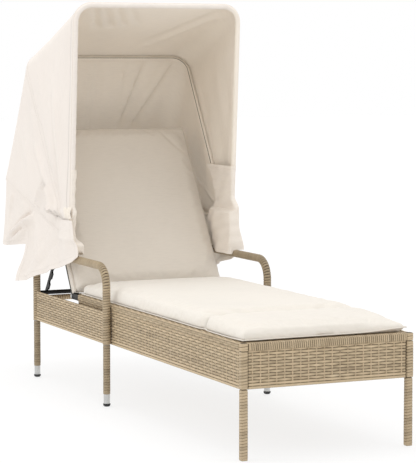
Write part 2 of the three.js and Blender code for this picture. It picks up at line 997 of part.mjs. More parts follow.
// Curtains that hang below the rear bow, at the sides and at the back
const rearTop = polar(0, rearBow.reach, rearBow.angle);
rearTop.y += bowTube / 2 + clothGap;
const rearHalf = rearBow.topX + bowTube / 2 + clothGap;
const cornerStartY = rearTop.y - clothCorner * Math.cos(rearBow.angle);
function bowLineX(y) {
  const reach = Math.max(bowStart, (y - pivotY) / Math.cos(rearBow.angle));
  return mix(clothX, rearHalf, (reach - bowStart) / (rearBow.reach - bowStart));
}
const bowLineZ = (y) => pivotZ + (y - pivotY) * Math.tan(rearBow.angle) - curtainSeam;
const curtainRows = 5;
const skirtSteps = 15;
const tailSteps = 5;
function sideCurtain(sign) {
  const columns = [];
  for (const share of spread(skirtSteps, 0, 1)) {
    const y = mix(skirtFrontY, curtainStepY, share);
    const top = Math.max(mix(skirtFrontTop, bowLineZ(pivotY), share), bowLineZ(y));
    const low = mix(skirtFrontZ, skirtRearZ, share) - skirtBelly * Math.sin(Math.PI * share);
    columns.push({ y, top, low });
  }
  const tailY = curtainStepY + curtainStepRun;
  for (const share of spread(tailSteps, 0, 1)) {
    const y = mix(tailY, cornerStartY - curtainSeam, share);
    const low = mix(curtainStepZ, curtainRearZ, share);
    columns.push({ y, top: bowLineZ(y), low });
  }
  const grid = columns.map(({ y, top, low }, k) => {
    const travel = k / (columns.length - 1);
    const fold = (1 - Math.cos(2 * Math.PI * sideFoldCount * travel)) / 2;
    return spread(curtainRows, 0, 1).map((drop) => {
      const x = bowLineX(y) + drop * (skirtFlare * drop + sideFoldDepth * fold);
      return new THREE.Vector3(sign * x, y, mix(top, low, drop));
    });
  });
  const facing = sign > 0 ? grid.reverse() : grid;
  return between(offsetGrid(facing, clothThickness), facing);
}
for (const { name, sign } of sides) {
  place(frame, "curtain_" + name, sideCurtain(sign), canopyFabric);
}
const backColumns = 30;
const hangBack = curtainRearY - clothThickness - skirtFlare - rearTop.y;
function backCurtain() {
  const flatHalf = bowLineX(cornerStartY) - clothCorner;
  const column = (x, turn) => ({
    x: x + clothCorner * Math.sin(turn),
    y: mix(cornerStartY, rearTop.y, Math.cos(turn)),
    outX: Math.sin(turn),
    outY: Math.cos(turn),
  });
  const columns = [
    ...spread(cornerSteps, -Math.PI / 2, 0).map((turn) => column(-flatHalf, turn)),
    ...spread(backColumns, -flatHalf, flatHalf).slice(1, -1).map((x) => column(x, 0)),
    ...spread(cornerSteps, 0, Math.PI / 2).map((turn) => column(flatHalf, turn)),
  ];
  const grid = columns.map(({ x, y, outX, outY }, k) => {
    const travel = k / (columns.length - 1);
    const fold = (1 - Math.cos(2 * Math.PI * backFoldCount * travel)) / 2;
    const top = rearTop.z - (rearTop.y - y) * Math.tan(rearBow.angle);
    return spread(curtainRows, 0, 1).map((drop) => {
      const lean = drop * (skirtFlare * drop + outY * hangBack - backFoldDepth * fold);
      return new THREE.Vector3(x + lean * outX, y + lean * outY, mix(top, curtainRearZ, drop));
    });
  });
  return between(offsetGrid(grid, clothThickness), grid);
}
place(frame, "curtain_back", backCurtain(), canopyFabric);

// Cushions: crowned on top, flat below, with sides that draw in between the corners
const edgeShares = [0, 0.008, 0.022, 0.05, 0.1, 0.18, 0.3];
const acrossShares = [0, 0.015, 0.05, 0.12, 0.22, 0.35];
const mirrored = (shares) => [...shares, 0.5, ...shares.map((s) => 1 - s).reverse()];
function cushion(half, start, end, height, seamAt) {
  const { across, along, floor, rise } = crownPowerShares;
  const length = end - start;
  const lines = mirrored(edgeShares).map((share) => share * length);
  if (seamAt !== undefined) {
    const at = seamAt - start;
    lines.push(at - seamLineWidth, at - seamLineWidth / 2, at, at + seamLineWidth / 2);
    lines.push(at + seamLineWidth);
  }
  lines.sort((a, b) => a - b);
  const seamBase = height * cushionSeamShare;
  const surface = (isTop) =>
    lines.map((run) =>
      mirrored(acrossShares).map((share) => {
        const a = 2 * share - 1;
        const b = (2 * run) / length - 1;
        const drawX = cushionDrawIn * (1 - b * b);
        const drawY = cushionDrawIn * (1 - a * a) * b ** (across + 1) * Math.sign(b);
        const x = a * (half - drawX);
        const y = start + run - drawY;
        const crown = ((1 - Math.abs(a) ** across) * (1 - Math.abs(b) ** along)) ** rise;
        const rest = 1 - (1 - Math.abs(a) ** floor) * (1 - Math.abs(b) ** floor);
        const away = seamAt === undefined ? Infinity : (2 * (start + run - seamAt)) / seamLineWidth;
        const sewn = 1 - seamLineDepthShare * Math.exp(-away * away);
        const lower = seamBase * rest;
        const upper = seamBase + cushionSeamBand;
        return new THREE.Vector3(x, y, isTop ? mix(upper, height, crown * sewn) : lower);
      }),
    );
  const top = surface(true).reverse();
  const bottom = surface(false).reverse();
  return between(top, bottom);
}
place(
  frame,
  "seat_cushion",
  cushion(seatCushionHalf, seatCushionFront, seatCushionRear, cushionHeight, seamLineY),
  cushionFabric,
  0,
  0,
  railTop + seatGap,
);
place(
  backrest,
  "back_cushion",
  cushion(backCushionHalf, backCushionBottom, backCushionTop, backCushionHeight),
  cushionFabric,
  0,
  0,
  stileDepth / 2 + seatGap,
);

export default lounger;
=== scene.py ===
"""Sun lounger with a folding canopy, dressed over its packed frame.

Metres; X across, Y from the foot end to the head end, Z up.
"""

import json
import math

import bmesh
import bpy
import numpy as np
from bpy.props import FloatProperty, FloatVectorProperty, PointerProperty
from mathutils import Matrix, Vector


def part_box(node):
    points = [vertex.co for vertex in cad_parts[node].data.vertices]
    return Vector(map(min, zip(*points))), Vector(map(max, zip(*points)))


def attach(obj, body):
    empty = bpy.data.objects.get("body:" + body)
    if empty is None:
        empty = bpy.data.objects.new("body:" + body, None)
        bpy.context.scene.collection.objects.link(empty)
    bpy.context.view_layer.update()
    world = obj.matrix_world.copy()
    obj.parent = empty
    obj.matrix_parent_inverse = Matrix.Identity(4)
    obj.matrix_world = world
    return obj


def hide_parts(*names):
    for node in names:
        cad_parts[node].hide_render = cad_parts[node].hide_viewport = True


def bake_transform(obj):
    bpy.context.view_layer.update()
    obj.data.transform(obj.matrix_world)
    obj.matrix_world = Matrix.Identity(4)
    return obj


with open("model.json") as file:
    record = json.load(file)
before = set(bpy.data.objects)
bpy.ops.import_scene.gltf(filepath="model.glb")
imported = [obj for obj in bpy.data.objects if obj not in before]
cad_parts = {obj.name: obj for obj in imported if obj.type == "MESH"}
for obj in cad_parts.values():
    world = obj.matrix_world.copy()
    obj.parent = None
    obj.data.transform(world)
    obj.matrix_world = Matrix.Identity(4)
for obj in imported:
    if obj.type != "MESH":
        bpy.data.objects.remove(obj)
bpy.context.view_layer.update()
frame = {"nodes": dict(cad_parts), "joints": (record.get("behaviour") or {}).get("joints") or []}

bl_info = {
    "name": "Sun Lounger with Canopy",
    "version": (1, 0, 0),
    "blender": (4, 5, 0),
    "location": "3D View > Sidebar > Lounger",
    "description": "Dresses a woven sun lounger with its cushions and folding canopy",
    "category": "Object",
}


# Places taken from the frame

def joint_place(name):
    """Where a joint of the frame turns."""
    joint = next(item for item in frame["joints"] if item["name"] == name)
    return Vector(joint["pos_m"])


def low(node):
    return Vector(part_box(node)[0])


def high(node):
    return Vector(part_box(node)[1])


def extent(node):
    """Lowest corner, highest corner and middle of a node's box."""
    lo, hi = low(node), high(node)
    return lo, hi, (lo + hi) / 2


SIDES = (("left", -1), ("right", 1))
PIVOT = joint_place("mid_bow_fold")
HINGE = joint_place("backrest_tilt")
RAISED = math.radians(58)
# The bows: their legs stand at BOW_X and bend into the top with the radius BOW_CORNER.
# The cloth lies CLOTH_OUT outside the line of a bow.
BOW_CORNER = 0.055
BOW_START = 0.078
CLOTH_OUT = 0.0077
BOW_X = 0.2975
CLOTH_X = BOW_X + CLOTH_OUT
CLOTH_CORNER = BOW_CORNER + CLOTH_OUT
CLOTH_NEAR = 0.07
BOWS = {
    "front": {"angle": math.radians(94), "reach": 0.804, "top": BOW_X},
    "mid": {"angle": math.radians(56.3), "reach": 0.754, "top": BOW_X + 0.0095},
    "rear": {"angle": math.radians(16.5), "reach": 0.688, "top": BOW_X + 0.0135},
}


# Settings

def length(name, text, default, least=0.0001, most=1.0):
    return FloatProperty(
        name=name,
        description=text,
        default=default,
        min=least,
        max=most,
        subtype="DISTANCE",
        unit="LENGTH",
        precision=4,
    )


def share(name, text, default):
    return FloatProperty(
        name=name, description=text, default=default, min=0, max=1, subtype="FACTOR"
    )


def colour(name, text, default):
    return FloatVectorProperty(
        name=name, description=text, default=default, size=3, min=0, max=1, subtype="COLOR"
    )


class WickerSettings(bpy.types.PropertyGroup):
    row_pitch: length("Row pitch", "Height of one woven row", 0.0083)
    stake_spacing: length("Stake spacing", "Distance between upright strands", 0.0248)
    strand_thickness: length("Strand thickness", "Thickness of a flat strand", 0.0023)
    weave_depth: length("Weave depth", "How far a row swings in and out", 0.0011)
    wrap_pitch: length("Wrap pitch", "Width of one turn on a leg or armrest", 0.0085)
    rail_wrap_pitch: length("Rail wrap pitch", "Width of one turn on a rail", 0.0066)
    light: colour("Light strand", "Palest tone of the strands", (0.765, 0.628, 0.426))
    middle: colour("Middle strand", "Main tone of the strands", (0.60, 0.466, 0.298))
    dark: colour("Dark strand", "Deepest tone of the strands", (0.335, 0.246, 0.146))
    # The gap tone is painted shadow: a dark backing seen between the strands.
    core: colour("Gaps", "Tone in the gaps of the weave", (0.085, 0.06, 0.034))


class CushionSettings(bpy.types.PropertyGroup):
    cloth: colour("Cushion cloth", "Colour of the seat cushion", (0.825, 0.775, 0.700))
    # The back cushion's cloth is the seat cloth made darker and warmer: painted shade of the canopy over
    # it.
    back_cloth: colour("Back cloth", "Colour of the back cushion", (0.735, 0.672, 0.590))
    voxel: length("Mesh size", "Size of the cushion's mesh faces", 0.008, 0.004, 0.02)
    seat_swell: length("Seat swell", "Most that the seat cushion swells", 0.024)
    back_swell: length("Back swell", "Most that the back cushion swells", 0.022)
    piping: length("Piping", "Radius of the sewn edge", 0.0021)


class CanopySettings(bpy.types.PropertyGroup):
    cloth: colour("Canopy cloth", "Colour of the canopy", (0.84, 0.775, 0.715))
    # The lining tone is the canopy cloth made paler and warmer: painted light for the light inside the
    # canopy.
    lining: colour("Lining", "Colour of the canopy's inner side", (0.915, 0.838, 0.735))
    # A dark cord stands in for the shadow in the gap at the middle sleeve's seam: painted shadow.
    binding: colour("Binding", "Colour of the sewn line inside the canopy", (0.15, 0.115, 0.07))
    thickness: length("Cloth thickness", "Thickness of the canopy cloth", 0.0014)
    sleeve: length("Sleeve radius", "Radius of the sleeves round the bows", 0.0084)
    fold_depth: share("Fold depth", "Strength of the hanging folds", 1.0)
    stitch_spacing: length("Stitch spacing", "Distance between stitches", 0.0045)


class MetalSettings(bpy.types.PropertyGroup):
    black: colour("Black paint", "Colour of the painted steel", (0.008, 0.008, 0.008))
    olive: colour("Frame paint", "Colour of the frame under the cushions", (0.030, 0.027, 0.019))
    bare: colour("Bare metal", "Colour of the leg tips", (0.55, 0.55, 0.54))


class StageSettings(bpy.types.PropertyGroup):
    floor: colour("Floor", "Colour of the floor", (0.97, 0.97, 0.97))
    lens: FloatProperty(
        name="Lens",
        description="Focal length of the camera",
        default=153.5,
        min=20,
        max=400,
        unit="CAMERA",
    )
    glow: share("Floor glow", "Share of the floor's brightness that it gives off itself", 0.78)
    fill: FloatProperty(
        name="Fill light", description="Brightness of the surroundings", default=1.0, min=0, max=3
    )
    key: FloatProperty(
        name="Key light", description="Power of the large lamp", default=42, min=0, max=3000, unit="POWER"
    )


# Nodes

class Value:
    """An output that sums are written with; each sum adds its Math node."""

    def __init__(self, nodes, socket):
        self.nodes = nodes
        self.socket = socket

    def __add__(self, other):
        return self.nodes.math("ADD", self, other)

    def __sub__(self, other):
        return self.nodes.math("SUBTRACT", self, other)

    def __rsub__(self, other):
        return self.nodes.math("SUBTRACT", other, self)

    def __mul__(self, other):
        return self.nodes.math("MULTIPLY", self, other)

    def __truediv__(self, other):
        return self.nodes.math("DIVIDE", self, other)

    def __rtruediv__(self, other):
        return self.nodes.math("DIVIDE", other, self)


class Nodes:
    """Adds and joins the nodes of one tree."""

    def __init__(self, tree, material=None):
        self.tree = tree
        self.material = material

    def add(self, kind, inputs=None, **settings):
        node = self.tree.nodes.new(kind)
        for key, value in settings.items():
            setattr(node, key, value)
        for key, value in (inputs or {}).items():
            self.feed(node.inputs[key], value)
        return node

    def feed(self, socket, value):
        """Links an output, or the first one of a node, to a socket; else sets the socket."""
        if isinstance(value, Value):
            value = value.socket
        elif isinstance(value, bpy.types.Node):
            value = value.outputs[0]
        if isinstance(value, bpy.types.NodeSocket):
            self.tree.links.new(value, socket)
        else:
            socket.default_value = value

    def math(self, operation, *values):
        node = self.add("ShaderNodeMath", dict(enumerate(values)), operation=operation)
        return Value(self, node.outputs[0])

    def vector(self, operation, *values):
        node = self.add("ShaderNodeVectorMath", operation=operation)
        for k, value in enumerate(values):
            self.feed(node.inputs["Scale" if operation == "SCALE" and k else k], value)
        return node

    def combine(self, x=0.0, y=0.0, z=0.0):
        return self.add("ShaderNodeCombineXYZ", {"X": x, "Y": y, "Z": z})

    def separate(self, place):
        node = self.add("ShaderNodeSeparateXYZ", {"Vector": place})
        return [Value(self, part) for part in node.outputs]

    def object_place(self):
        return self.add("ShaderNodeTexCoord").outputs["Object"]

    def attribute(self, name):
        return Value(self, self.add("ShaderNodeAttribute", attribute_name=name).outputs["Fac"])

    def noise(self, place, scale, detail=2.0, roughness=0.5):
        node = self.add(
            "ShaderNodeTexNoise",
            {"Vector": place, "Scale": scale, "Detail": detail, "Roughness": roughness},
        )
        return Value(self, node.outputs["Fac"])

    def remap(self, value, **ends):
        inputs = {"Value": value}
        inputs.update((end.replace("_", " "), number) for end, number in ends.items())
        return Value(self, self.add("ShaderNodeMapRange", inputs).outputs["Result"])

    def ramp(self, factor, *stops):
        node = self.add("ShaderNodeValToRGB", {"Fac": factor})
        elements = node.color_ramp.elements
        while len(elements) < len(stops):
            elements.new(0.5)
        for element, (at, tone) in zip(elements, stops):
            element.position = at
            element.color = (*tone, 1)
        return node

    def blend(self, factor, one, other):
        node = self.add("ShaderNodeMix", data_type="RGBA")
        self.feed(node.inputs[0], factor)
        for socket, value in ((node.inputs[6], one), (node.inputs[7], other)):
            self.feed(socket, (*value, 1) if isinstance(value, tuple) else value)
        return node.outputs[2]

    def dress(self, **surface):
        """Feeds inputs of the surface shader and hands over the material."""
        shader = self.tree.nodes["Principled BSDF"]
        for key, value in surface.items():
            self.feed(shader.inputs[key.replace("_", " ")], value)
        return self.material

    def bump(self, height, distance, strength=0.6, normal=None):
        inputs = {"Height": height, "Distance": distance, "Strength": strength}
        if normal is not None:
            inputs["Normal"] = normal
        return self.add("ShaderNodeBump", inputs)


def made_once(store, title=None):
    """Hands out what a function has made under a name before, or has it made now."""

    def keeper(make):
        def found(name=title or make.__name__, *values, **settings):
            return getattr(bpy.data, store).get(name) or make(name, *values, **settings)

        found.__doc__ = make.__doc__
        return found

    return keeper


# Materials

def finish(name, roughness, metallic=0.0, **surface):
    """The nodes of a new material, with its surface shader set."""
    material = bpy.data.materials.new(name)
    material.use_nodes = True
    nodes = Nodes(material.node_tree, material)
    nodes.dress(Roughness=roughness, Metallic=metallic, **surface)
    return nodes


def shaded(tone, factor):
    return tuple(min(1.0, part * factor) for part in tone)


@made_once("materials")
def rattan_strand(name):
    """Flat plastic strand: mottled along its length, with fine grooves."""
    tones = bpy.context.scene.lounger_wicker
    nodes = finish(name, 0.5)
    along = nodes.attribute("strand_along")
    across = nodes.attribute("strand_across")
    row = nodes.attribute("strand_row")
    tint = nodes.noise(nodes.combine(along * 9.0, row * 3.71), 1.0, 3.0, 0.6)
    streak = nodes.noise(nodes.combine(along * 30.0, row * 5.3, across * 5.0), 1.0, 3.0, 0.6)
    tone = nodes.ramp(
        tint * 0.72 + streak * 0.28,
        (0.30, tones.dark), (0.45, tones.middle), (0.56, tones.middle), (0.72, tones.light),
    )
    sunk = nodes.attribute("strand_sunk")
    shade = nodes.attribute("strand_shade")
    own = nodes.noise(nodes.combine(row * 7.31), 1.0, 1.0)
    own = nodes.remap(own, From_Min=0.25, From_Max=0.75, To_Min=0.8, To_Max=1.13)
    tone = nodes.vector("SCALE", tone, own)
    centred = across * 2.0 - 1.0
    edge = centred * centred
    crown = 1.0 - edge
    # Painted shadow: the strand darkens toward the gap tone at its edges, where it turns into the gaps,
    # less so on pieces with more painted shade, and where it passes behind another strand.
    painted_shadow_tone = tuple(tones.core)
    edge_share = nodes.math("MAXIMUM", 0.5 - shade * 1.4, 0.1)
    tone = nodes.blend(nodes.math("POWER", edge, 2.5) * edge_share, tone, painted_shadow_tone)
    tone = nodes.blend(sunk * 0.2, tone, painted_shadow_tone)
    # Painted shade: whole pieces darker by their strand_shade, most on the right side and at the rear.
    tone = nodes.vector("SCALE", tone, 1.0 - shade)
    grooves = nodes.math("SINE", across * 37.0)
    rough = nodes.remap(streak, To_Min=0.42, To_Max=0.66)
    normal = nodes.bump(crown, 0.0011, 0.8)
    normal = nodes.bump(grooves, 0.00012, normal=normal)
    normal = nodes.bump(streak, 0.0003, normal=normal)
    return nodes.dress(Base_Color=tone, Roughness=rough, Normal=normal)


@made_once("materials")
def rattan_core(name):
    """Shadowed backing seen in the gaps between strands."""
    tone = tuple(bpy.context.scene.lounger_wicker.core)
    nodes = finish(name, 0.85)
    speckle = nodes.noise(nodes.object_place(), 220.0)
    base = nodes.ramp(speckle, (0.3, shaded(tone, 0.6)), (0.7, shaded(tone, 1.5)))
    return nodes.dress(Base_Color=base, Normal=nodes.bump(speckle, 0.0004))


@made_once("materials")
def woven_cloth(name, tone, thread, place_kind, tilt=0.0, sheen=0.25):
    """Matt outdoor cloth in a plain weave; thread is the weave's repeat in metres."""
    nodes = finish(
        name, 0.88, Sheen_Weight=sheen, Sheen_Roughness=0.5, Specular_IOR_Level=0.25
    )
    place = nodes.object_place()
    if place_kind == "UV":
        place = nodes.add("ShaderNodeUVMap", uv_map="cut").outputs["UV"]
    else:
        place = nodes.add("ShaderNodeMapping", {"Vector": place, "Rotation": (-tilt, 0, 0)})
    turns = 2 * math.pi / thread
    weave = None
    for part in nodes.separate(place)[:2 if place_kind == "UV" else 3]:
        wave = nodes.math("SINE", part * turns)
        weave = wave if weave is None else weave + wave
    slub = nodes.add("ShaderNodeMapping", {"Vector": place, "Scale": (35, 210, 120)})
    slub = nodes.noise(slub, 1.0, 3.0, 0.6)
    cloud = nodes.noise(place, 4.5, 3.0, 0.55)
    mixed = slub * 0.5 + cloud * 0.5
    base = nodes.ramp(mixed, (0.32, shaded(tone, 0.955)), (0.5, tone), (0.68, shaded(tone, 1.025)))
    if place_kind == "UV":
        # The inner side takes the paler lining tone: painted light inside the canopy.
        inner = bpy.context.scene.lounger_canopy.lining
        inner = nodes.ramp(mixed, (0.32, shaded(inner, 0.93)), (0.6, inner))
        base = nodes.blend(nodes.attribute("lining"), base, inner)
    # Painted shade where the seam attribute is set: creases of the side cloth, a cushion's sewn groove and
    # the hem's seam line.
    base = nodes.blend(nodes.attribute("seam") * 0.5, base, shaded(tone, 0.55))
    # Painted shade in the hollows of the weave.
    hollow = nodes.remap(weave, From_Min=-2.0, From_Max=2.0)
    base = nodes.blend(hollow * 0.1, base, shaded(tone, 0.8))
    crumple = nodes.bump(nodes.noise(place, 16.0, 4.0, 0.6), 0.0016, 0.35)
    return nodes.dress(Base_Color=base, Normal=nodes.bump(weave, thread * 0.06, normal=crumple))


def canopy_cloth():
    return woven_cloth(
        "canopy_weave", tuple(bpy.context.scene.lounger_canopy.cloth), 0.0012, "UV", sheen=0.15
    )


def cushion_cloth(tilt=0.0):
    settings = bpy.context.scene.lounger_cushions
    if tilt:
        # The back cushion and its piping take the darker back cloth: painted shade of the canopy.
        return woven_cloth("back_cushion_weave", tuple(settings.back_cloth), 0.0014, "Object", tilt)
    return woven_cloth("seat_cushion_weave", tuple(settings.cloth), 0.0014, "Object")


@made_once("materials")
def sewing_thread(name):
    """Twisted thread; any name but sewing_thread gives the dark binding."""
    canopy = bpy.context.scene.lounger_canopy
    tone, depth = (tuple(canopy.cloth), 0.95) if name == "sewing_thread" else (tuple(canopy.binding), 1.0)
    nodes = finish(name, 0.6)
    twist = nodes.noise(nodes.object_place(), 900.0, 1.0)
    base = nodes.ramp(twist, (0.35, shaded(tone, depth * 0.75)), (0.65, shaded(tone, depth)))
    return nodes.dress(Base_Color=base, Normal=nodes.bump(twist, 0.0003))


@made_once("materials")
def painted_steel(name, tone, gloss):
    """Powder coat: a faint orange-peel surface and worn, paler patches."""
    nodes = finish(name, gloss, Specular_IOR_Level=0.3)
    place = nodes.object_place()
    grain = nodes.noise(place, 900.0)
    patch = nodes.noise(place, 28.0, 4.0, 0.65)
    base = nodes.ramp(patch, (0.3, tone), (0.62, shaded(tone, 1.25)), (0.8, shaded(tone, 2.2)))
    rough = nodes.remap(patch, To_Min=gloss - 0.08, To_Max=gloss + 0.14)
    return nodes.dress(Base_Color=base, Roughness=rough, Normal=nodes.bump(grain, 0.0002, 0.5))


@made_once("materials")
def brushed_metal(name):
    """Bare tube: fine lines along it, with a little dust."""
    tone = tuple(bpy.context.scene.lounger_metal.bare)
    nodes = finish(name, 0.36, 0.85)
    place = nodes.object_place()
    drawn = nodes.add("ShaderNodeMapping", {"Vector": place, "Scale": (1400, 1400, 60)})
    brush = nodes.noise(drawn, 1.0, 3.0, 0.6)
    dust = nodes.noise(place, 60.0, 3.0)
    mixed = brush * 0.6 + dust * 0.4
    base = nodes.ramp(mixed, (0.3, shaded(tone, 0.85)), (0.7, shaded(tone, 1.2)))
    return nodes.dress(Base_Color=base, Normal=nodes.bump(brush, 0.0001, 0.5))


@made_once("materials")
def moulded_plastic(name):
    """Black plastic with a fine grain and grey scuffs."""
    nodes = finish(name, 0.5)
    place = nodes.object_place()
    grain = nodes.noise(place, 700.0, 3.0)
    scuff = nodes.noise(place, 90.0, 4.0, 0.7)
    base = nodes.ramp(scuff, (0.4, (0.012, 0.012, 0.013)), (0.75, (0.035, 0.034, 0.033)))
    return nodes.dress(Base_Color=base, Normal=nodes.bump(grain, 0.0003))


# Sums on arrays

def smooth_step(x):
    """0 up to 0, 1 from 1 on, and a soft rise between."""
    x = np.clip(x, 0, 1)
    return x * x * (3 - 2 * x)


def bell(x, width):
    """1 at 0, fading on both sides."""
    return np.exp(-((x / width) ** 2))


def unit(vectors):
    return vectors / np.linalg.norm(vectors, axis=1, keepdims=True)


# Meshes

def piece_from(name, vertices, faces, material, crease=None):
    mesh = bpy.data.meshes.new(name)
    mesh.from_pydata([tuple(v) for v in vertices], [], faces)
    mesh.update()
    mesh.polygons.foreach_set("use_smooth", [True] * len(mesh.polygons))
    if crease:
        mesh.set_sharp_from_angle(angle=crease)
    if material:
        mesh.materials.append(material)
    obj = bpy.data.objects.new(name, mesh)
    bpy.context.scene.collection.objects.link(obj)
    return obj


def ring_faces(count, sides, closed=False):
    """Faces that join each ring of points to the next."""
    faces = []
    for i in range(count if closed else count - 1):
        here, ahead = i * sides, (i + 1) % count * sides
        for j in range(sides):
            k = (j + 1) % sides
            faces.append((here + j, here + k, ahead + k, ahead + j))
    return faces


def end_faces(count, sides):
    return [tuple(range(sides)), tuple(range((count - 1) * sides, count * sides))]


def face_outwards(obj):
    work = bmesh.new()
    work.from_mesh(obj.data)
    bmesh.ops.recalc_face_normals(work, faces=work.faces)
    work.to_mesh(obj.data)
    work.free()


def evaluated_mesh(obj):
    """A new mesh of what the object's modifiers make."""
    depsgraph = bpy.context.evaluated_depsgraph_get()
    depsgraph.update()
    return bpy.data.meshes.new_from_object(
        obj.evaluated_get(depsgraph), preserve_all_data_layers=True, depsgraph=depsgraph
    )


def applied(obj):
    """Keeps what the modifiers make as the object's own mesh."""
    mesh = evaluated_mesh(obj)
    obj.modifiers.clear()
    obj.data = mesh
    return mesh


def grown(name, tree, values, place=None, points=None, edges=None):
    """Runs a node tree on a carrier mesh and keeps the plain result as a piece."""
    carrier = bpy.data.meshes.new(name + "_path")
    carrier.from_pydata(points or [(0, 0, 0)], edges or [], [])
    obj = bpy.data.objects.new(name, carrier)
    bpy.context.scene.collection.objects.link(obj)
    modifier = obj.modifiers.new("growth", "NODES")
    modifier.node_group = tree
    sockets = {
        item.name: item.identifier
        for item in tree.interface.items_tree
        if item.item_type == "SOCKET" and item.in_out == "INPUT"
    }
    for key, value in values.items():
        modifier[sockets[key]] = value
    mesh = applied(obj)
    mesh.name = name
    if place is not None:
        mesh.transform(place)
        if place.to_3x3().determinant() < 0:
            mesh.flip_normals()
    return obj


def polyline(points):
    return {"points": [tuple(p) for p in points], "edges": [(k, k + 1) for k in range(len(points) - 1)]}


# Node trees

STRIP_ROUNDING = 0.35
POINTS_PER_STAKE = 4.0
OUTWARDS = (0, 1, 0)


class Tree(Nodes):
    """A geometry node tree with named inputs."""

    def __init__(self, name, sizes):
        tree = bpy.data.node_groups.new(name, "GeometryNodeTree")
        super().__init__(tree)
        tree.interface.new_socket("Geometry", in_out="INPUT", socket_type="NodeSocketGeometry")
        kinds = {"f": "Float", "i": "Int", "v": "Vector", "m": "Material"}
        for size, kind in sizes.items():
            tree.interface.new_socket(size, in_out="INPUT", socket_type="NodeSocket" + kinds[kind])
        tree.interface.new_socket("Geometry", in_out="OUTPUT", socket_type="NodeSocketGeometry")
        self.entry = self.add("NodeGroupInput")
        self.exit = self.add("NodeGroupOutput")

    def size(self, name):
        return Value(self, self.entry.outputs[name])

    def store(self, geometry, name, value, kind="FLOAT", domain="POINT"):
        return self.add(
            "GeometryNodeStoreNamedAttribute",
            {"Geometry": geometry, "Name": name, "Value": value},
            data_type=kind,
            domain=domain,
        )

    # Core faces take the dark gap tone, painted shadow seen between the strands.
    def core(self, geometry):
        return self.store(geometry, "is_core", True, "BOOLEAN", "FACE")

    def position(self):
        return self.separate(self.add("GeometryNodeInputPosition"))

    def named(self, name, kind="FLOAT"):
        node = self.add("GeometryNodeInputNamedAttribute", {"Name": name}, data_type=kind)
        return Value(self, node.outputs["Attribute"])

    def line(self, *end):
        """A straight curve from the origin."""
        return self.add(
            "GeometryNodeCurvePrimitiveLine", {"Start": (0, 0, 0), "End": self.combine(*end)}, mode="POINTS"
        )

    def dots(self, count, start, step):
        """A row of points."""
        node = self.add("GeometryNodeMeshLine", {"Count": count}, mode="OFFSET")
        self.feed(node.inputs["Start Location"], self.combine(*start))
        self.feed(node.inputs["Offset"], self.combine(*step))
        return node

    def resampled(self, curve, length=None, count=None):
        """The curve with points a length apart, or with a count of them."""
        node = self.add("GeometryNodeResampleCurve", {"Curve": curve})
        if length is not None:
            node.mode = "LENGTH"
            self.feed(node.inputs["Length"], length)
        else:
            self.feed(node.inputs["Count"], count)
        return node

    def repeated(self, points, instance):
        return self.add("GeometryNodeInstanceOnPoints", {"Points": points, "Instance": instance})

    def moved(self, geometry, offset):
        return self.add("GeometryNodeSetPosition", {"Geometry": geometry, "Offset": offset})

    def realised(self, geometry):
        return self.add("GeometryNodeRealizeInstances", {0: geometry})

    def strip(self, thickness, width):
        """Flat strand section with rounded edges."""
        outline = self.add(
            "GeometryNodeCurvePrimitiveQuadrilateral", {"Width": thickness, "Height": width}
        )
        soft = self.add(
            "GeometryNodeFilletCurve",
            {"Curve": outline, "Count": 1, "Radius": thickness * STRIP_ROUNDING},
            mode="POLY",
        )
        _, y, _ = self.position()
        return self.store(soft, "strand_across", y / width + 0.5)

    def swept(self, curve, section):
        mesh = self.add(
            "GeometryNodeCurveToMesh", {"Curve": curve, "Profile Curve": section, "Fill Caps": True}
        )
        return self.add("GeometryNodeSetShadeSmooth", {0: mesh})

    def turned_normals(self, curve, normal):
        return self.add("GeometryNodeSetCurveNormal", {"Curve": curve, "Normal": normal}, mode="FREE")

    def sunk(self, wave):
        """How far a strand has passed behind, from 0 to 1."""
        depth = 0.5 - wave * 0.62
        return self.math("MAXIMUM", 0.0, self.math("MINIMUM", 1.0, depth))

    def end(self, parts, core=False, shade=None):
        """Realises the parts and gives strands and core their materials."""
        join = self.add("GeometryNodeJoinGeometry")
        for part in parts:
            self.feed(join.inputs[0], part)
        out = self.realised(join)
        # strand_shade darkens a whole piece: painted shade.
        if shade is not None:
            out = self.store(out, "strand_shade", shade)
        out = self.add("GeometryNodeSetMaterial", {"Geometry": out, "Material": self.size("Strand")})
        if core:
            out = self.add("GeometryNodeSetMaterial", {"Geometry": out, "Material": self.size("Core")})
            self.feed(out.inputs["Selection"], self.named("is_core", "BOOLEAN"))
        self.feed(self.exit.inputs[0], out)
        return self.tree


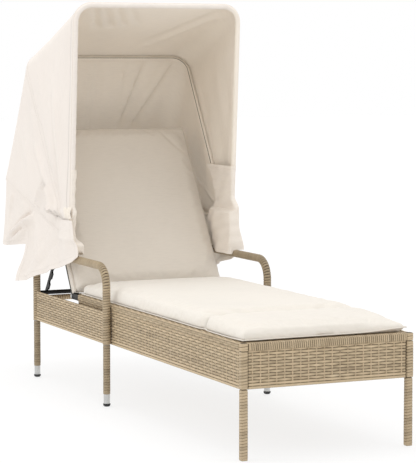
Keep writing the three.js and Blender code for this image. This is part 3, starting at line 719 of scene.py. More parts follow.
@made_once("node_groups", "Woven wall")
def woven_wall(name):
    """Rows that pass in and out between stakes; X along, Y out, Z up."""
    g = Tree(
        name,
        {
            "Length": "f", "Rows": "i", "Row Pitch": "f", "Stakes": "i", "Thickness": "f",
            "Weave Depth": "f", "Row Fill": "f", "Plain Rows": "i", "Core Thickness": "f",
            "Start Reach": "f", "End Reach": "f", "Shade": "f", "Strand": "m", "Core": "m",
        },
    )
    pitch = g.size("Row Pitch")
    spacing = g.size("Length") / g.size("Stakes")
    height = pitch * g.size("Rows")
    levels = g.dots(g.size("Rows"), (0.0, 0.0, pitch * 0.5), (0.0, 0.0, pitch))
    steps = g.resampled(g.line(g.size("Length")), count=g.size("Stakes") * POINTS_PER_STAKE + 1.0)
    rows = g.realised(g.repeated(levels, steps))
    x, _, z = g.position()
    row = g.math("FLOOR", z / pitch)
    wave = g.math("COSINE", (x / spacing - 0.5 + row) * math.pi)
    swing = wave * g.size("Weave Depth")
    plain = g.math("LESS_THAN", row, g.size("Plain Rows") - 0.5)
    sunk = g.sunk(wave) * (1.0 - plain)
    offset = swing * (1.0 - plain) + plain * g.size("Weave Depth")
    rows = g.store(rows, "strand_sunk", sunk)
    rows = g.store(rows, "strand_along", x + row * 0.377)
    rows = g.store(rows, "strand_row", row)
    rows = g.turned_normals(g.moved(rows, g.combine(0.0, offset)), OUTWARDS)
    rows = g.swept(rows, g.strip(g.size("Thickness"), pitch * g.size("Row Fill")))
    feet = g.dots(g.size("Stakes"), (spacing * 0.5,), (spacing,))
    stakes = g.realised(g.repeated(feet, g.line(0.0, 0.0, height)))
    x, _, z = g.position()
    stakes = g.store(stakes, "strand_along", z + x)
    stakes = g.store(stakes, "strand_row", x * 97.0)
    stakes = g.turned_normals(stakes, OUTWARDS)
    stakes = g.swept(stakes, g.strip(g.size("Thickness") * 0.7, pitch * 0.62))
    before = g.size("Start Reach")
    full = g.size("Length") + (before + g.size("End Reach"))
    # The backing sheet behind the weave takes the dark core material: painted shadow in the gaps.
    sheet = g.add("GeometryNodeMeshCube", {"Size": g.combine(full, g.size("Core Thickness"), height)})
    middle = g.combine(full * 0.5 - before, 0.0, height * 0.5)
    sheet = g.add("GeometryNodeTransform", {"Geometry": sheet, "Translation": middle})
    return g.end([rows, stakes, g.core(sheet)], True, g.size("Shade"))


@made_once("node_groups", "Wound strand")
def wound_strand(name):
    """A flat strand wound round a path; Half Width lies along the Facing direction."""
    g = Tree(
        name,
        {
            "Pitch": "f", "Half Width": "f", "Half Depth": "f", "Squareness": "f", "Thickness": "f",
            "Points per Turn": "i", "Fill": "f", "Facing": "v", "Shade": "f", "Strand": "m", "Core": "m",
        },
    )
    pitch, power = g.size("Pitch"), g.size("Squareness")
    path = g.add("GeometryNodeMeshToCurve", {0: g.size("Geometry")})
    path = g.turned_normals(path, g.size("Facing"))
    fine = g.resampled(path, pitch / g.size("Points per Turn"))
    travel = Value(g, g.add("GeometryNodeSplineParameter").outputs["Length"])
    total = Value(g, g.add("GeometryNodeCurveLength", {"Curve": path}).outputs[0])
    last = total - pitch
    slide = g.math("MINIMUM", g.math("MAXIMUM", travel, pitch), last) - travel
    ringed = g.math("GREATER_THAN", g.math("ABSOLUTE", slide), 0.00001)
    tuck = ringed * 0.0004
    turn = travel / pitch * (2 * math.pi)
    cosine, sine = g.math("COSINE", turn), g.math("SINE", turn)
    inset = g.size("Thickness") * 0.5
    wide = g.size("Half Width") - inset
    deep = g.size("Half Depth") - inset
    one = g.math("POWER", g.math("ABSOLUTE", cosine) / wide, power)
    two = g.math("POWER", g.math("ABSOLUTE", sine) / deep, power)
    radius = g.math("POWER", one + two, -1.0 / power) - tuck
    out = g.add("GeometryNodeInputNormal")
    tangent = g.add("GeometryNodeInputTangent")
    beside = g.vector("CROSS_PRODUCT", tangent, out)
    x, y = radius * cosine, radius * sine
    offset = g.vector("ADD", g.vector("SCALE", out, x), g.vector("SCALE", beside, y))
    offset = g.vector("ADD", offset, g.vector("SCALE", tangent, slide))
    less = power - 1.0

    def slope(part, half):
        steep = g.math("POWER", g.math("ABSOLUTE", part) / half, less)
        return g.math("SIGN", part) * steep / half

    surface = g.vector(
        "NORMALIZE",
        g.vector("ADD", g.vector("SCALE", out, slope(x, wide)), g.vector("SCALE", beside, slope(y, deep))),
    )
    strand = g.store(fine, "outward", surface, "FLOAT_VECTOR")
    strand = g.store(strand, "strand_along", travel * 5.0)
    strand = g.store(strand, "strand_row", g.math("FLOOR", travel / pitch))
    strand = g.store(strand, "aside", offset, "FLOAT_VECTOR")
    strand = g.moved(strand, g.named("aside", "FLOAT_VECTOR"))
    strand = g.turned_normals(strand, g.named("outward", "FLOAT_VECTOR"))
    strand = g.swept(strand, g.strip(g.size("Thickness"), pitch * g.size("Fill")))
    half_turn = pitch * 0.52
    inner = g.add("GeometryNodeTrimCurve", {"Curve": path}, mode="LENGTH")
    for end, cut in (("Start", half_turn), ("End", total - half_turn)):
        g.feed([socket for socket in inner.inputs if socket.name == end and socket.enabled][-1], cut)
    coarse = g.resampled(inner, pitch * 1.2)
    ring = g.add("GeometryNodeCurvePrimitiveQuadrilateral")
    g.feed(ring.inputs["Width"], (wide - inset) * 2.0)
    g.feed(ring.inputs["Height"], (deep - inset) * 2.0)
    ring = g.add(
        "GeometryNodeFilletCurve",
        {"Curve": ring, "Count": 4, "Limit Radius": True, "Radius": wide * 2.0 / power},
        mode="POLY",
    )
    return g.end([strand, g.core(g.swept(coarse, ring))], True, g.size("Shade"))


@made_once("node_groups", "Woven sleeve")
def woven_sleeve(name):
    """Rows that run along a rail and pass in and out of hoops round it; Z along."""
    g = Tree(
        name,
        {
            "Length": "f", "Width": "f", "Height": "f", "Corner": "f", "Rows": "i", "Hoops": "i",
            "Thickness": "f", "Weave Depth": "f", "Row Width": "f", "Shade": "f",
            "Strand": "m", "Core": "m",
        },
    )
    spacing = g.size("Length") / g.size("Hoops")
    inset = g.size("Weave Depth") + g.size("Thickness") * 0.5

    def ring(shrink):
        less = shrink * 2.0
        outline = g.add(
            "GeometryNodeCurvePrimitiveQuadrilateral",
            {"Width": g.size("Width") - less, "Height": g.size("Height") - less},
        )
        return g.add(
            "GeometryNodeFilletCurve",
            {"Curve": outline, "Count": 3, "Radius": g.size("Corner")},
            mode="POLY",
        )

    places = g.add("GeometryNodeCurveToPoints", {"Curve": ring(inset), "Count": g.size("Rows")})
    marked = g.store(places.outputs["Points"], "outward", places.outputs["Normal"], "FLOAT_VECTOR")
    marked = g.store(marked, "strand_row", g.add("GeometryNodeInputIndex"))
    line = g.line(0.0, 0.0, g.size("Length"))
    steps = g.resampled(line, count=g.size("Hoops") * POINTS_PER_STAKE + 1.0)
    rows = g.realised(g.repeated(marked, steps))
    _, _, z = g.position()
    row = g.named("strand_row")
    outward = g.named("outward", "FLOAT_VECTOR")
    wave = g.math("COSINE", (z / spacing - 0.5 + row) * math.pi)
    swing = wave * g.size("Weave Depth")
    rows = g.store(rows, "strand_sunk", g.sunk(wave))
    rows = g.store(rows, "strand_along", z + row * 0.41)
    rows = g.turned_normals(g.moved(rows, g.vector("SCALE", outward, swing)), outward)
    rows = g.swept(rows, g.strip(g.size("Thickness"), g.size("Row Width")))
    levels = g.dots(g.size("Hoops"), (0.0, 0.0, spacing * 0.5), (0.0, 0.0, spacing))
    hoops = g.repeated(levels, g.swept(ring(inset), g.strip(g.size("Thickness") * 0.6, 0.0045)))
    body = g.add(
        "GeometryNodeCurveToMesh", {"Curve": line, "Profile Curve": ring(inset * 1.25), "Fill Caps": True}
    )
    return g.end([rows, hoops, g.core(body)], True, g.size("Shade"))


@made_once("node_groups", "Stitch run")
def stitch_run(name):
    """Small stitches laid end to end along a path."""
    g = Tree(name, {"Spacing": "f", "Stitch Length": "f", "Thread": "f", "Strand": "m"})
    path = g.add("GeometryNodeMeshToCurve", {0: g.size("Geometry")})
    spread_out = g.resampled(path, g.size("Spacing"))
    tangent = g.add("GeometryNodeInputTangent")
    aim = g.add("FunctionNodeAlignRotationToVector", {"Vector": tangent}, axis="Z")
    bead = g.add("GeometryNodeMeshUVSphere", {"Segments": 6, "Rings": 4, "Radius": 0.5})
    thread = g.size("Thread")
    size = g.combine(thread, thread, g.size("Stitch Length"))
    bead = g.add("GeometryNodeTransform", {"Geometry": bead, "Scale": size})
    laid = g.repeated(spread_out, bead)
    g.feed(laid.inputs["Rotation"], aim)
    return g.end([g.add("GeometryNodeSetShadeSmooth", {0: laid})])


# Pieces made with the trees

PANEL_ROW = 0.0125
CORE_THICKNESS = 0.0002


def strands(name, node, body, tree, slot, values, **carrier):
    """Woven or wound strands on a body, in the place of a plain solid."""
    obj = grown(name, tree, {**values, "Strand": rattan_strand(), "Core": rattan_core()}, **carrier)
    face_outwards(obj)
    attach(obj, body)
    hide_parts(node)


def wall(
    name, node, body, span, rows, row_pitch, place, plain=2, depth=None, thickness=None, reach=(0.0, 0.0)
):
    """Woven sheet; reach is how far the backing goes past either end."""
    wicker = bpy.context.scene.lounger_wicker
    strands(
        name, node, body, woven_wall(), "rattan_weave",
        {
            "Length": span,
            "Rows": rows,
            "Row Pitch": row_pitch,
            "Stakes": max(2, round(span / wicker.stake_spacing)),
            "Thickness": thickness or wicker.strand_thickness,
            "Weave Depth": depth or wicker.weave_depth,
            "Row Fill": 0.9,
            "Plain Rows": plain,
            "Core Thickness": CORE_THICKNESS,
            "Start Reach": reach[0],
            "End Reach": reach[1],
            "Shade": 0.0,
        },
        place=place,
    )


ROUND = 2.0
SQUARED = 7.0
SQUARE = 13.0
END_GAP = 0.0005


def winding(
    name, node, points, pitch, half_width, half_depth, facing, square=ROUND, turns=20, shade=0.0, fill=0.955
):
    """Strand wound round a path; half a turn is added at each end for a flat last ring."""
    wicker = bpy.context.scene.lounger_wicker
    points = [Vector(p) for p in points]
    points[0] += (points[0] - points[1]).normalized() * pitch / 2
    points[-1] += (points[-1] - points[-2]).normalized() * pitch / 2
    strands(
        name, node, "seat_frame", wound_strand(), "rattan_wrap",
        {
            "Pitch": pitch,
            "Half Width": half_width,
            "Half Depth": half_depth,
            "Squareness": square,
            "Thickness": wicker.strand_thickness,
            "Points per Turn": turns,
            "Fill": fill,
            "Facing": facing,
            "Shade": shade,
        },
        **polyline(points),
    )


def bent_path(corners, bend, steps):
    """Straight runs joined by bends of one radius."""
    corners = [Vector(c) for c in corners]
    points = [corners[0]]
    for k in range(1, len(corners) - 1):
        before = (corners[k] - corners[k - 1]).normalized()
        after = (corners[k + 1] - corners[k]).normalized()
        turn = before.angle(after)
        start = corners[k] - before * bend * math.tan(turn / 2)
        side = (after - before * after.dot(before)).normalized()
        middle = start + side * bend
        for n in range(steps + 1):
            angle = turn * n / steps
            points.append(middle - side * bend * math.cos(angle) + before * bend * math.sin(angle))
    points.append(corners[-1])
    return points


def turned(columns, origin):
    """A placement whose X, Y and Z axes are the three given directions."""
    matrix = Matrix.Identity(4)
    for k, column in enumerate(columns):
        for row in range(3):
            matrix[row][k] = column[row]
    matrix.translation = origin
    return matrix


CAMERA_PLACE = (-2.635493, -5.930883, 1.116763)
CAMERA_DIP = 0.072873
CAMERA_TURN = -0.429254
CAMERA_SHIFT = (-0.003276, -0.053759)
LAMP_AIM = Vector((0, 0.1, 0.5))
FLOOR_HALF = 30
FLOOR_LEVEL = -0.0006


class LOUNGER_OT_stage(bpy.types.Operator):
    """Sets up the camera, the floor and the soft light"""

    bl_idname = "lounger.stage"
    bl_label = "Camera, Floor and Light"

    def execute(self, context):
        scene = context.scene
        settings = scene.lounger_stage
        camera = bpy.data.cameras.new("camera")
        camera.lens = settings.lens
        camera.sensor_width = 36
        camera.shift_x, camera.shift_y = CAMERA_SHIFT
        camera.clip_end = 60
        holder = bpy.data.objects.new("camera", camera)
        holder.location = CAMERA_PLACE
        holder.rotation_euler = (math.pi / 2 - CAMERA_DIP, 0, CAMERA_TURN)
        scene.collection.objects.link(holder)
        scene.camera = holder
        world = bpy.data.worlds.new("studio")
        world.use_nodes = True
        backdrop = world.node_tree.nodes["Background"]
        backdrop.inputs["Color"].default_value = (1, 1, 1, 1)
        backdrop.inputs["Strength"].default_value = settings.fill
        scene.world = world
        scene.view_settings.view_transform = "Standard"
        nodes = finish("studio_floor", 0.9)
        place = nodes.object_place()
        tone = tuple(settings.floor)
        lit = shaded(tone, 1 - settings.glow)
        base = nodes.ramp(nodes.noise(place, 2.0), (0.3, shaded(lit, 0.995)), (0.7, lit))
        glow = settings.glow * settings.fill
        ground = nodes.dress(Base_Color=base, Emission_Color=(*tone, 1), Emission_Strength=glow)
        corners = [
            (x * FLOOR_HALF, y * FLOOR_HALF, FLOOR_LEVEL) for x, y in ((-1, -1), (1, -1), (1, 1), (-1, 1))
        ]
        floor = piece_from("floor", corners, [(0, 1, 2, 3)], ground)
        for name, where, size, power in (
            ("key_light", (-5.2, -0.6, 4.0), 3.0, settings.key),
            ("side_light", (4.2, -1.6, 3.0), 3.0, settings.key * 0.12),
            ("top_light", (0.0, 0.5, 4.6), 3.2, settings.key * 0.85),
        ):
            lamp = bpy.data.lights.new(name, "AREA")
            lamp.shape = "DISK"
            lamp.size = size
            lamp.energy = power
            light = bpy.data.objects.new(name, lamp)
            light.location = where
            aim = LAMP_AIM - Vector(where)
            light.rotation_euler = aim.to_track_quat("-Z", "Y").to_euler()
            scene.collection.objects.link(light)
        return {"FINISHED"}


class LOUNGER_OT_metalwork(bpy.types.Operator):
    """Gives the steel, bare metal and plastic parts their finishes"""

    bl_idname = "lounger.metalwork"
    bl_label = "Metal and Plastic Finishes"

    def execute(self, context):
        metal = context.scene.lounger_metal
        finishes = {
            "black_steel": painted_steel("black_powder_coat", tuple(metal.black), 0.42),
            "frame_steel": painted_steel("olive_powder_coat", tuple(metal.olive), 0.5),
            "bare_metal": brushed_metal(),
            "black_plastic": moulded_plastic(),
        }
        kinds = {
            "black_steel": ("bow", "bracket", "catch_bar", "prop_strut", "prop_rod", "hinge_plate"),
            "frame_steel": ("cross_bar", "back_stile", "back_bottom_rail", "back_top_rail"),
            "bare_metal": ("leg_tube", "hinge_pin", "prop_pin"),
            "black_plastic": ("foot_cap", "canopy_bolt"),
        }
        for node, obj in frame["nodes"].items():
            for kind, words in kinds.items():
                if any(word in node for word in words):
                    for slot in obj.material_slots:
                        slot.material = finishes[kind]
        return {"FINISHED"}


class LOUNGER_OT_aprons(bpy.types.Operator):
    """Weaves the walls of the seat box and the bands between the arm legs"""

    bl_idname = "lounger.aprons"
    bl_label = "Woven Walls"

    def execute(self, context):
        wicker = context.scene.lounger_wicker
        face = wicker.weave_depth + wicker.strand_thickness / 2

        def woven(node, outward, right, recess, reach, above, short=0.0):
            """Weaves a node's outer side; the backing reaches into its neighbours."""
            lo, hi = low(node), high(node)
            rows = round((hi.z - lo.z + above) / wicker.row_pitch)
            aside, out = Vector(right), Vector(outward)
            span = (hi - lo).dot(Vector([abs(part) for part in right])) - 2 * short
            thick = abs((hi - lo).dot(out))
            origin = (lo + hi) / 2 + out * (thick / 2 - face - recess) - aside * span / 2
            origin.z = lo.z
            place = turned((right, outward, (0, 0, 1)), origin)
            tall = (hi.z - lo.z + above) / rows
            wall("woven_" + node, node, "seat_frame", span, rows, tall, place, reach=reach)

        woven("front_apron", (0, -1, 0), (1, 0, 0), 0.0038, (0.006, 0.006), 0.0035, 0.0015)
        for name, sign in SIDES:
            woven("side_apron_" + name, (sign, 0, 0), (0, 1, 0), 0.0006, (0.003, 0.0), 0.0035)
            woven("arm_band_" + name, (sign, 0, 0), (0, 1, 0), 0.0, (0.002, 0.002), 0.0)
        return {"FINISHED"}


class LOUNGER_OT_deck(bpy.types.Operator):
    """Weaves the seat deck and the panel of the backrest"""

    bl_idname = "lounger.deck"
    bl_label = "Seat Deck and Back Panel"

    def execute(self, context):
        lo, hi = low("seat_deck"), high("seat_deck")
        rows = round((hi.y - lo.y) / PANEL_ROW)
        middle_z = (lo.z + hi.z) / 2
        place = turned(((1, 0, 0), (0, 0, 1), (0, 1, 0)), (lo.x, lo.y, middle_z))
        wall(
            "woven_seat_deck", "seat_deck", "seat_frame", hi.x - lo.x, rows, (hi.y - lo.y) / rows, place,
            plain=0, depth=0.0007, thickness=0.0018,
        )
        near, far, up = 0.0403, 0.5797, 0.0086
        half = high("back_panel").x
        rows = round((far - near) / PANEL_ROW)
        along = Vector((0, math.cos(RAISED), math.sin(RAISED)))
        outward = Vector((0, -math.sin(RAISED), math.cos(RAISED)))
        origin = HINGE + along * near + outward * up + Vector((-half, 0, 0))
        place = turned(((1, 0, 0), tuple(outward), tuple(along)), origin)
        wall(
            "woven_back_panel", "back_panel", "backrest", 2 * half, rows, (far - near) / rows, place,
            plain=0, depth=0.0004, thickness=0.0010,
        )
        return {"FINISHED"}


CAP_HEIGHT = 0.0098
CAP_PROFILE = (
    (0.45, 0), (0.66, 0.05), (0.84, 0.18), (0.95, 0.36), (1, 0.6),
    (1, 0.94), (0.96, 1), (0.9, 1), (0.885, 0.98), (0.885, 0.62),
)


class LOUNGER_OT_foot_caps(bpy.types.Operator):
    """Moulds the rounded caps under the arm frames"""

    bl_idname = "lounger.foot_caps"
    bl_label = "Foot Caps"

    def execute(self, context):
        sides = 40
        for name, _ in SIDES:
            for leg in ("mid", "rear"):
                node = "foot_cap_" + leg + "_" + name
                lo, hi, middle = extent(node)
                radius = (hi.x - lo.x) / 2
                vertices, faces = [], ring_faces(len(CAP_PROFILE), sides)
                for r, h in CAP_PROFILE:
                    for k in range(sides):
                        turn = 2 * math.pi * k / sides
                        ridge = 1 - 0.012 * (k % 4 == 0) * (0.3 < h < 0.95) * (r > 0.9)
                        vertices.append((
                            middle.x + radius * r * ridge * math.cos(turn),
                            middle.y + radius * r * ridge * math.sin(turn),
                            lo.z + CAP_HEIGHT * h,
                        ))
                faces.append(tuple(reversed(range(sides))))
                last = (len(CAP_PROFILE) - 1) * sides
                faces.append(tuple(range(last, last + sides)))
                obj = piece_from(
                    "rounded_" + node, vertices, faces, moulded_plastic(), crease=math.radians(40)
                )
                face_outwards(obj)
                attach(obj, "seat_frame")
                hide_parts(node)
        return {"FINISHED"}


class LOUNGER_OT_rails(bpy.types.Operator):
    """Wraps the front and rear rails and weaves the sleeves of the side rails"""

    bl_idname = "lounger.rails"
    bl_label = "Seat Rails"

    def execute(self, context):
        wicker = context.scene.lounger_wicker
        corner = high("front_rail").y - low("front_rail").y
        for node in ("front_rail", "rear_rail"):
            lo, hi, middle = extent(node)
            inset = corner + 0.0002 if node == "front_rail" else 0.0006
            # The rails get a little painted shade through their shade value.
            winding(
                "wrapped_" + node, node,
                [(lo.x + inset, middle.y, middle.z), (hi.x - inset, middle.y, middle.z)],
                wicker.rail_wrap_pitch, (hi.y - lo.y) / 2, (hi.z - lo.z) / 2,
                (0, 1, 0), SQUARED, 32, 0.08, 0.86,
            )
        for name, sign in SIDES:
            lo, hi, middle = extent("front_rail")
            x = sign * (hi.x - corner / 2)
            winding(
                "wrapped_corner_" + name, "front_rail",
                [(x, middle.y, lo.z + 0.0003), (x, middle.y, hi.z)],
                (hi.z - lo.z) / 3, corner / 2, corner / 2, (1, 0, 0), SQUARED, 32,
            )
            node = "side_rail_" + name
            lo, hi, middle = extent(node)
            span = hi.y - lo.y
            place = turned(((1, 0, 0), (0, 0, 1), (0, 1, 0)), (middle.x, lo.y, middle.z))
            strands(
                "woven_" + node, node, "seat_frame", woven_sleeve(), "rattan_wrap",
                {
                    "Length": span,
                    "Width": hi.x - lo.x,
                    "Height": hi.z - lo.z,
                    "Corner": 0.003,
                    "Rows": 11,
                    "Hoops": round(span / wicker.stake_spacing),
                    "Thickness": wicker.strand_thickness,
                    "Weave Depth": 0.0008,
                    "Row Width": 0.0066,
                    "Shade": 0.0,
                },
                place=place,
            )
        return {"FINISHED"}


class LOUNGER_OT_legs_and_arms(bpy.types.Operator):
    """Winds strand round the legs, the armrests and the rear stretcher"""

    bl_idname = "lounger.legs_and_arms"
    bl_label = "Wrapped Legs and Armrests"

    def execute(self, context):
        pitch = context.scene.lounger_wicker.wrap_pitch

        def upright(node, square, turns, shade=0.0, fill=0.955):
            lo, hi, middle = extent(node)
            points = [(middle.x, middle.y, lo.z + END_GAP), (middle.x, middle.y, hi.z - END_GAP)]
            over = 0.0003 if square > ROUND else 0.0
            half = ((hi.x - lo.x) / 2 + over, (hi.y - lo.y) / 2 + over)
            winding("wrapped_" + node, node, points, pitch, *half, (1, 0, 0), square, turns, shade, fill)

        for name, sign in SIDES:
            # The shade values are painted shade on whole pieces: more on the right side, most on the rear
            # leg sleeves and the right arm.
            upright("front_leg_" + name, SQUARE, 32, 0.13 if sign < 0 else 0.20, 0.985)
            upright("corner_post_" + name, SQUARE, 32, 0.09)
            for leg in ("mid", "rear"):
                upright("leg_sleeve_" + leg + "_" + name, ROUND, 20, 0.38 if leg == "mid" else 0.43, 0.975)
            node = "arm_tube_" + name
            lo, hi, middle = extent(node)
            radius = (hi.x - lo.x) / 2
            outline = [
                (middle.x, lo.y + radius, lo.z + END_GAP),
                (middle.x, lo.y + radius, hi.z - radius),
                (middle.x, hi.y - radius, hi.z - radius),
                (middle.x, hi.y - radius, lo.z + END_GAP),
            ]
            winding(
                "wrapped_" + node, node, bent_path(outline, 0.065, 14), pitch, radius, radius,
                (1, 0, 0), ROUND, 22, 0.24 if sign < 0 else 0.40, 0.93,
            )
        lo, hi, middle = extent("rear_stretcher")
        radius = (hi.z - lo.z) / 2
        winding(
            "wrapped_rear_stretcher", "rear_stretcher",
            [(lo.x + END_GAP, middle.y, middle.z), (hi.x - END_GAP, middle.y, middle.z)],
            pitch, radius, radius, (0, 1, 0),
        )
        return {"FINISHED"}


# Cushions

CUSHION_PULL = 0.005
CUSHION_INSET = 0.005
SEAM_PULL = 0.008
SEAM_WIDTH = 0.022
RIM_POINTS = 320
SWELL_PRESSURE = 4.0
SWELL_FRAMES = 20


def cushion_shell(name, half, start, end, height, edge, seam, pull, taper):
    """Closed pad in its own place: Y along, Z up from the face it rests on."""
    columns, rows = 64, 128
    a = np.sin(np.linspace(-1, 1, columns + 1) * math.pi / 2)
    b = np.sin(np.linspace(-1, 1, rows + 1) * math.pi / 2)
    a, b = np.sign(a) * np.abs(a) ** 0.8, np.sign(b) * np.abs(b) ** 0.6
    A, B = np.meshgrid(a, b)
    span = end - start
    Y = start + span * (B + 1) / 2
    drawn = pull * (1 - B * B)
    if seam is not None:
        drawn = drawn + SEAM_PULL * bell(Y - seam, SEAM_WIDTH)
    X = A * (half - drawn)
    Y = Y - pull * (1 - A * A) * np.abs(B) ** 6 * np.sign(B)
    across, along = (1 - np.abs(A)) * half, (1 - np.abs(B)) * span / 2
    inward = np.minimum(across, along)
    rise = 0.95 * np.clip(inward / 0.009, 0, 1) ** 0.4 + 0.05 * smooth_step(inward / 0.10)
    flat = np.clip(inward / 0.012, 0, 1) ** 0.7
    sewn = edge(X, Y)
    upper = sewn + (height * taper(X, Y) - sewn) * rise
    lower = sewn * (1 - flat)
    if seam is not None:
        upper = upper - 0.3 * (height - sewn) * bell(Y - seam, 0.012)
    top = np.stack([X, Y, upper], -1).reshape(-1, 3)
    bottom = np.stack([X, Y, lower], -1).reshape(-1, 3)
    stride = columns + 1
    count = (rows + 1) * stride
    rim = {
        count + i * stride + j: i * stride + j
        for i in range(rows + 1)
        for j in range(stride)
        if i in (0, rows) or j in (0, columns)
    }
    faces = []
    for i in range(rows):
        for j in range(columns):
            k = i * stride + j
            faces.append((k, k + 1, k + stride + 1, k + stride))
            under = (count + k, count + k + stride, count + k + stride + 1, count + k + 1)
            faces.append(tuple(rim.get(v, v) for v in under))
    obj = piece_from(name, np.concatenate([top, bottom]), faces, None)
    work = bmesh.new()
    work.from_mesh(obj.data)
    loose = [v for v in work.verts if not v.link_faces]
    bmesh.ops.delete(work, geom=loose, context="VERTS")
    bmesh.ops.recalc_face_normals(work, faces=work.faces)
    work.to_mesh(obj.data)
    work.free()
    return obj


def remesh(obj, voxel):
    """Gives a pad faces of one size."""
    modifier = obj.modifiers.new("even", "REMESH")
    modifier.mode = "VOXEL"
    modifier.voxel_size = voxel
    applied(obj)


def coordinates(mesh):
    flat = np.empty(len(mesh.vertices) * 3)
    mesh.vertices.foreach_get("co", flat)
    return flat.reshape(-1, 3)


def put_coordinates(mesh, points):
    mesh.vertices.foreach_set("co", points.ravel())
    mesh.update()


def inflate(obj, hold, cap):
    """Swells a pad with the cloth solver; hold is each point's pinned share."""
    scene = bpy.context.scene
    before = coordinates(obj.data)
    group = obj.vertex_groups.new(name="sewn")
    levels = np.round(hold, 2)
    for level in np.unique(levels):
        if level > 0:
            group.add([int(k) for k in np.flatnonzero(levels == level)], float(level), "REPLACE")
    cloth = obj.modifiers.new("swell", "CLOTH")
    cloth.settings.quality = 6
    cloth.settings.mass = 0.25
    cloth.settings.tension_stiffness = 18
    cloth.settings.compression_stiffness = 12
    cloth.settings.shear_stiffness = 6
    cloth.settings.bending_stiffness = 1.2
    cloth.settings.use_pressure = True
    cloth.settings.uniform_pressure_force = SWELL_PRESSURE
    cloth.settings.vertex_group_mass = "sewn"
    cloth.settings.shrink_min = -0.02
    cloth.settings.effector_weights.gravity = 0
    cloth.collision_settings.use_collision = False
    cloth.collision_settings.use_self_collision = False
    cloth.point_cache.frame_start = 1
    cloth.point_cache.frame_end = SWELL_FRAMES + 1
    for step in range(1, SWELL_FRAMES + 1):
        scene.frame_set(step)
    after = coordinates(evaluated_mesh(obj))
    obj.modifiers.clear()
    obj.vertex_groups.clear()
    scene.frame_set(1)
    move = after - before
    reach = np.linalg.norm(move, axis=1, keepdims=True)
    move = move * np.minimum(1, cap / np.maximum(reach, 1e-9))
    put_coordinates(obj.data, before + move)


def subdivide(obj):
    modifier = obj.modifiers.new("fine", "SUBSURF")
    modifier.levels = modifier.render_levels = 1
    mesh = applied(obj)
    mesh.polygons.foreach_set("use_smooth", [True] * len(mesh.polygons))


def tube(name, path, radius, material, closed=True, sides=8):
    """A round cord of cloth along a closed or open run of points."""
    points = np.array(path, dtype=float)
    count = len(points)
    ahead = np.roll(points, -1, 0) - np.roll(points, 1, 0)
    if not closed:
        ahead[0], ahead[-1] = points[1] - points[0], points[-1] - points[-2]
    ahead = unit(ahead)
    up = np.array([0.0, 0.0, 1.0])
    aside = np.cross(ahead, up)
    size = np.linalg.norm(aside, axis=1, keepdims=True)
    aside = np.where(size > 1e-6, aside / np.maximum(size, 1e-9), np.array([[1.0, 0, 0]]))
    over = np.cross(aside, ahead)
    angles = np.linspace(0, 2 * math.pi, sides, endpoint=False)
    cosines, sines = np.cos(angles)[None, :, None], np.sin(angles)[None, :, None]
    rings = points[:, None] + radius * (cosines * aside[:, None] + sines * over[:, None])
    faces = ring_faces(count, sides, closed)
    if not closed:
        faces += end_faces(count, sides)
    obj = piece_from(name, rings.reshape(-1, 3), faces, material)
    face_outwards(obj)
    return obj


def rim_path(half, start, end, edge, seam, pull):
    """The sewn edge of a cushion, once round."""
    span = end - start

    def width(t):
        y = start + span * (t + 1) / 2
        drawn = pull * (1 - t * t)
        if seam is not None:
            drawn += SEAM_PULL * bell(y - seam, SEAM_WIDTH)
        return half - drawn, y

    ring = []
    for t in np.linspace(-1, 1, RIM_POINTS // 2, endpoint=False):
        x, y = width(t)
        ring.append((x, y))
    for t in np.linspace(1, -1, RIM_POINTS // 4, endpoint=False):
        ring.append((t * half, end - pull * (1 - t * t)))
    for t in np.linspace(1, -1, RIM_POINTS // 2, endpoint=False):
        x, y = width(t)
        ring.append((-x, y))
    for t in np.linspace(-1, 1, RIM_POINTS // 4, endpoint=False):
        ring.append((t * half, start + pull * (1 - t * t)))
    return [(x, y, float(edge(np.array(x), np.array(y)))) for x, y in ring]


def marked(obj, name, values):
    """Stores a value for each point, for the material to read."""
    obj.data.attributes.new(name, "FLOAT", "POINT").data.foreach_set("value", values)


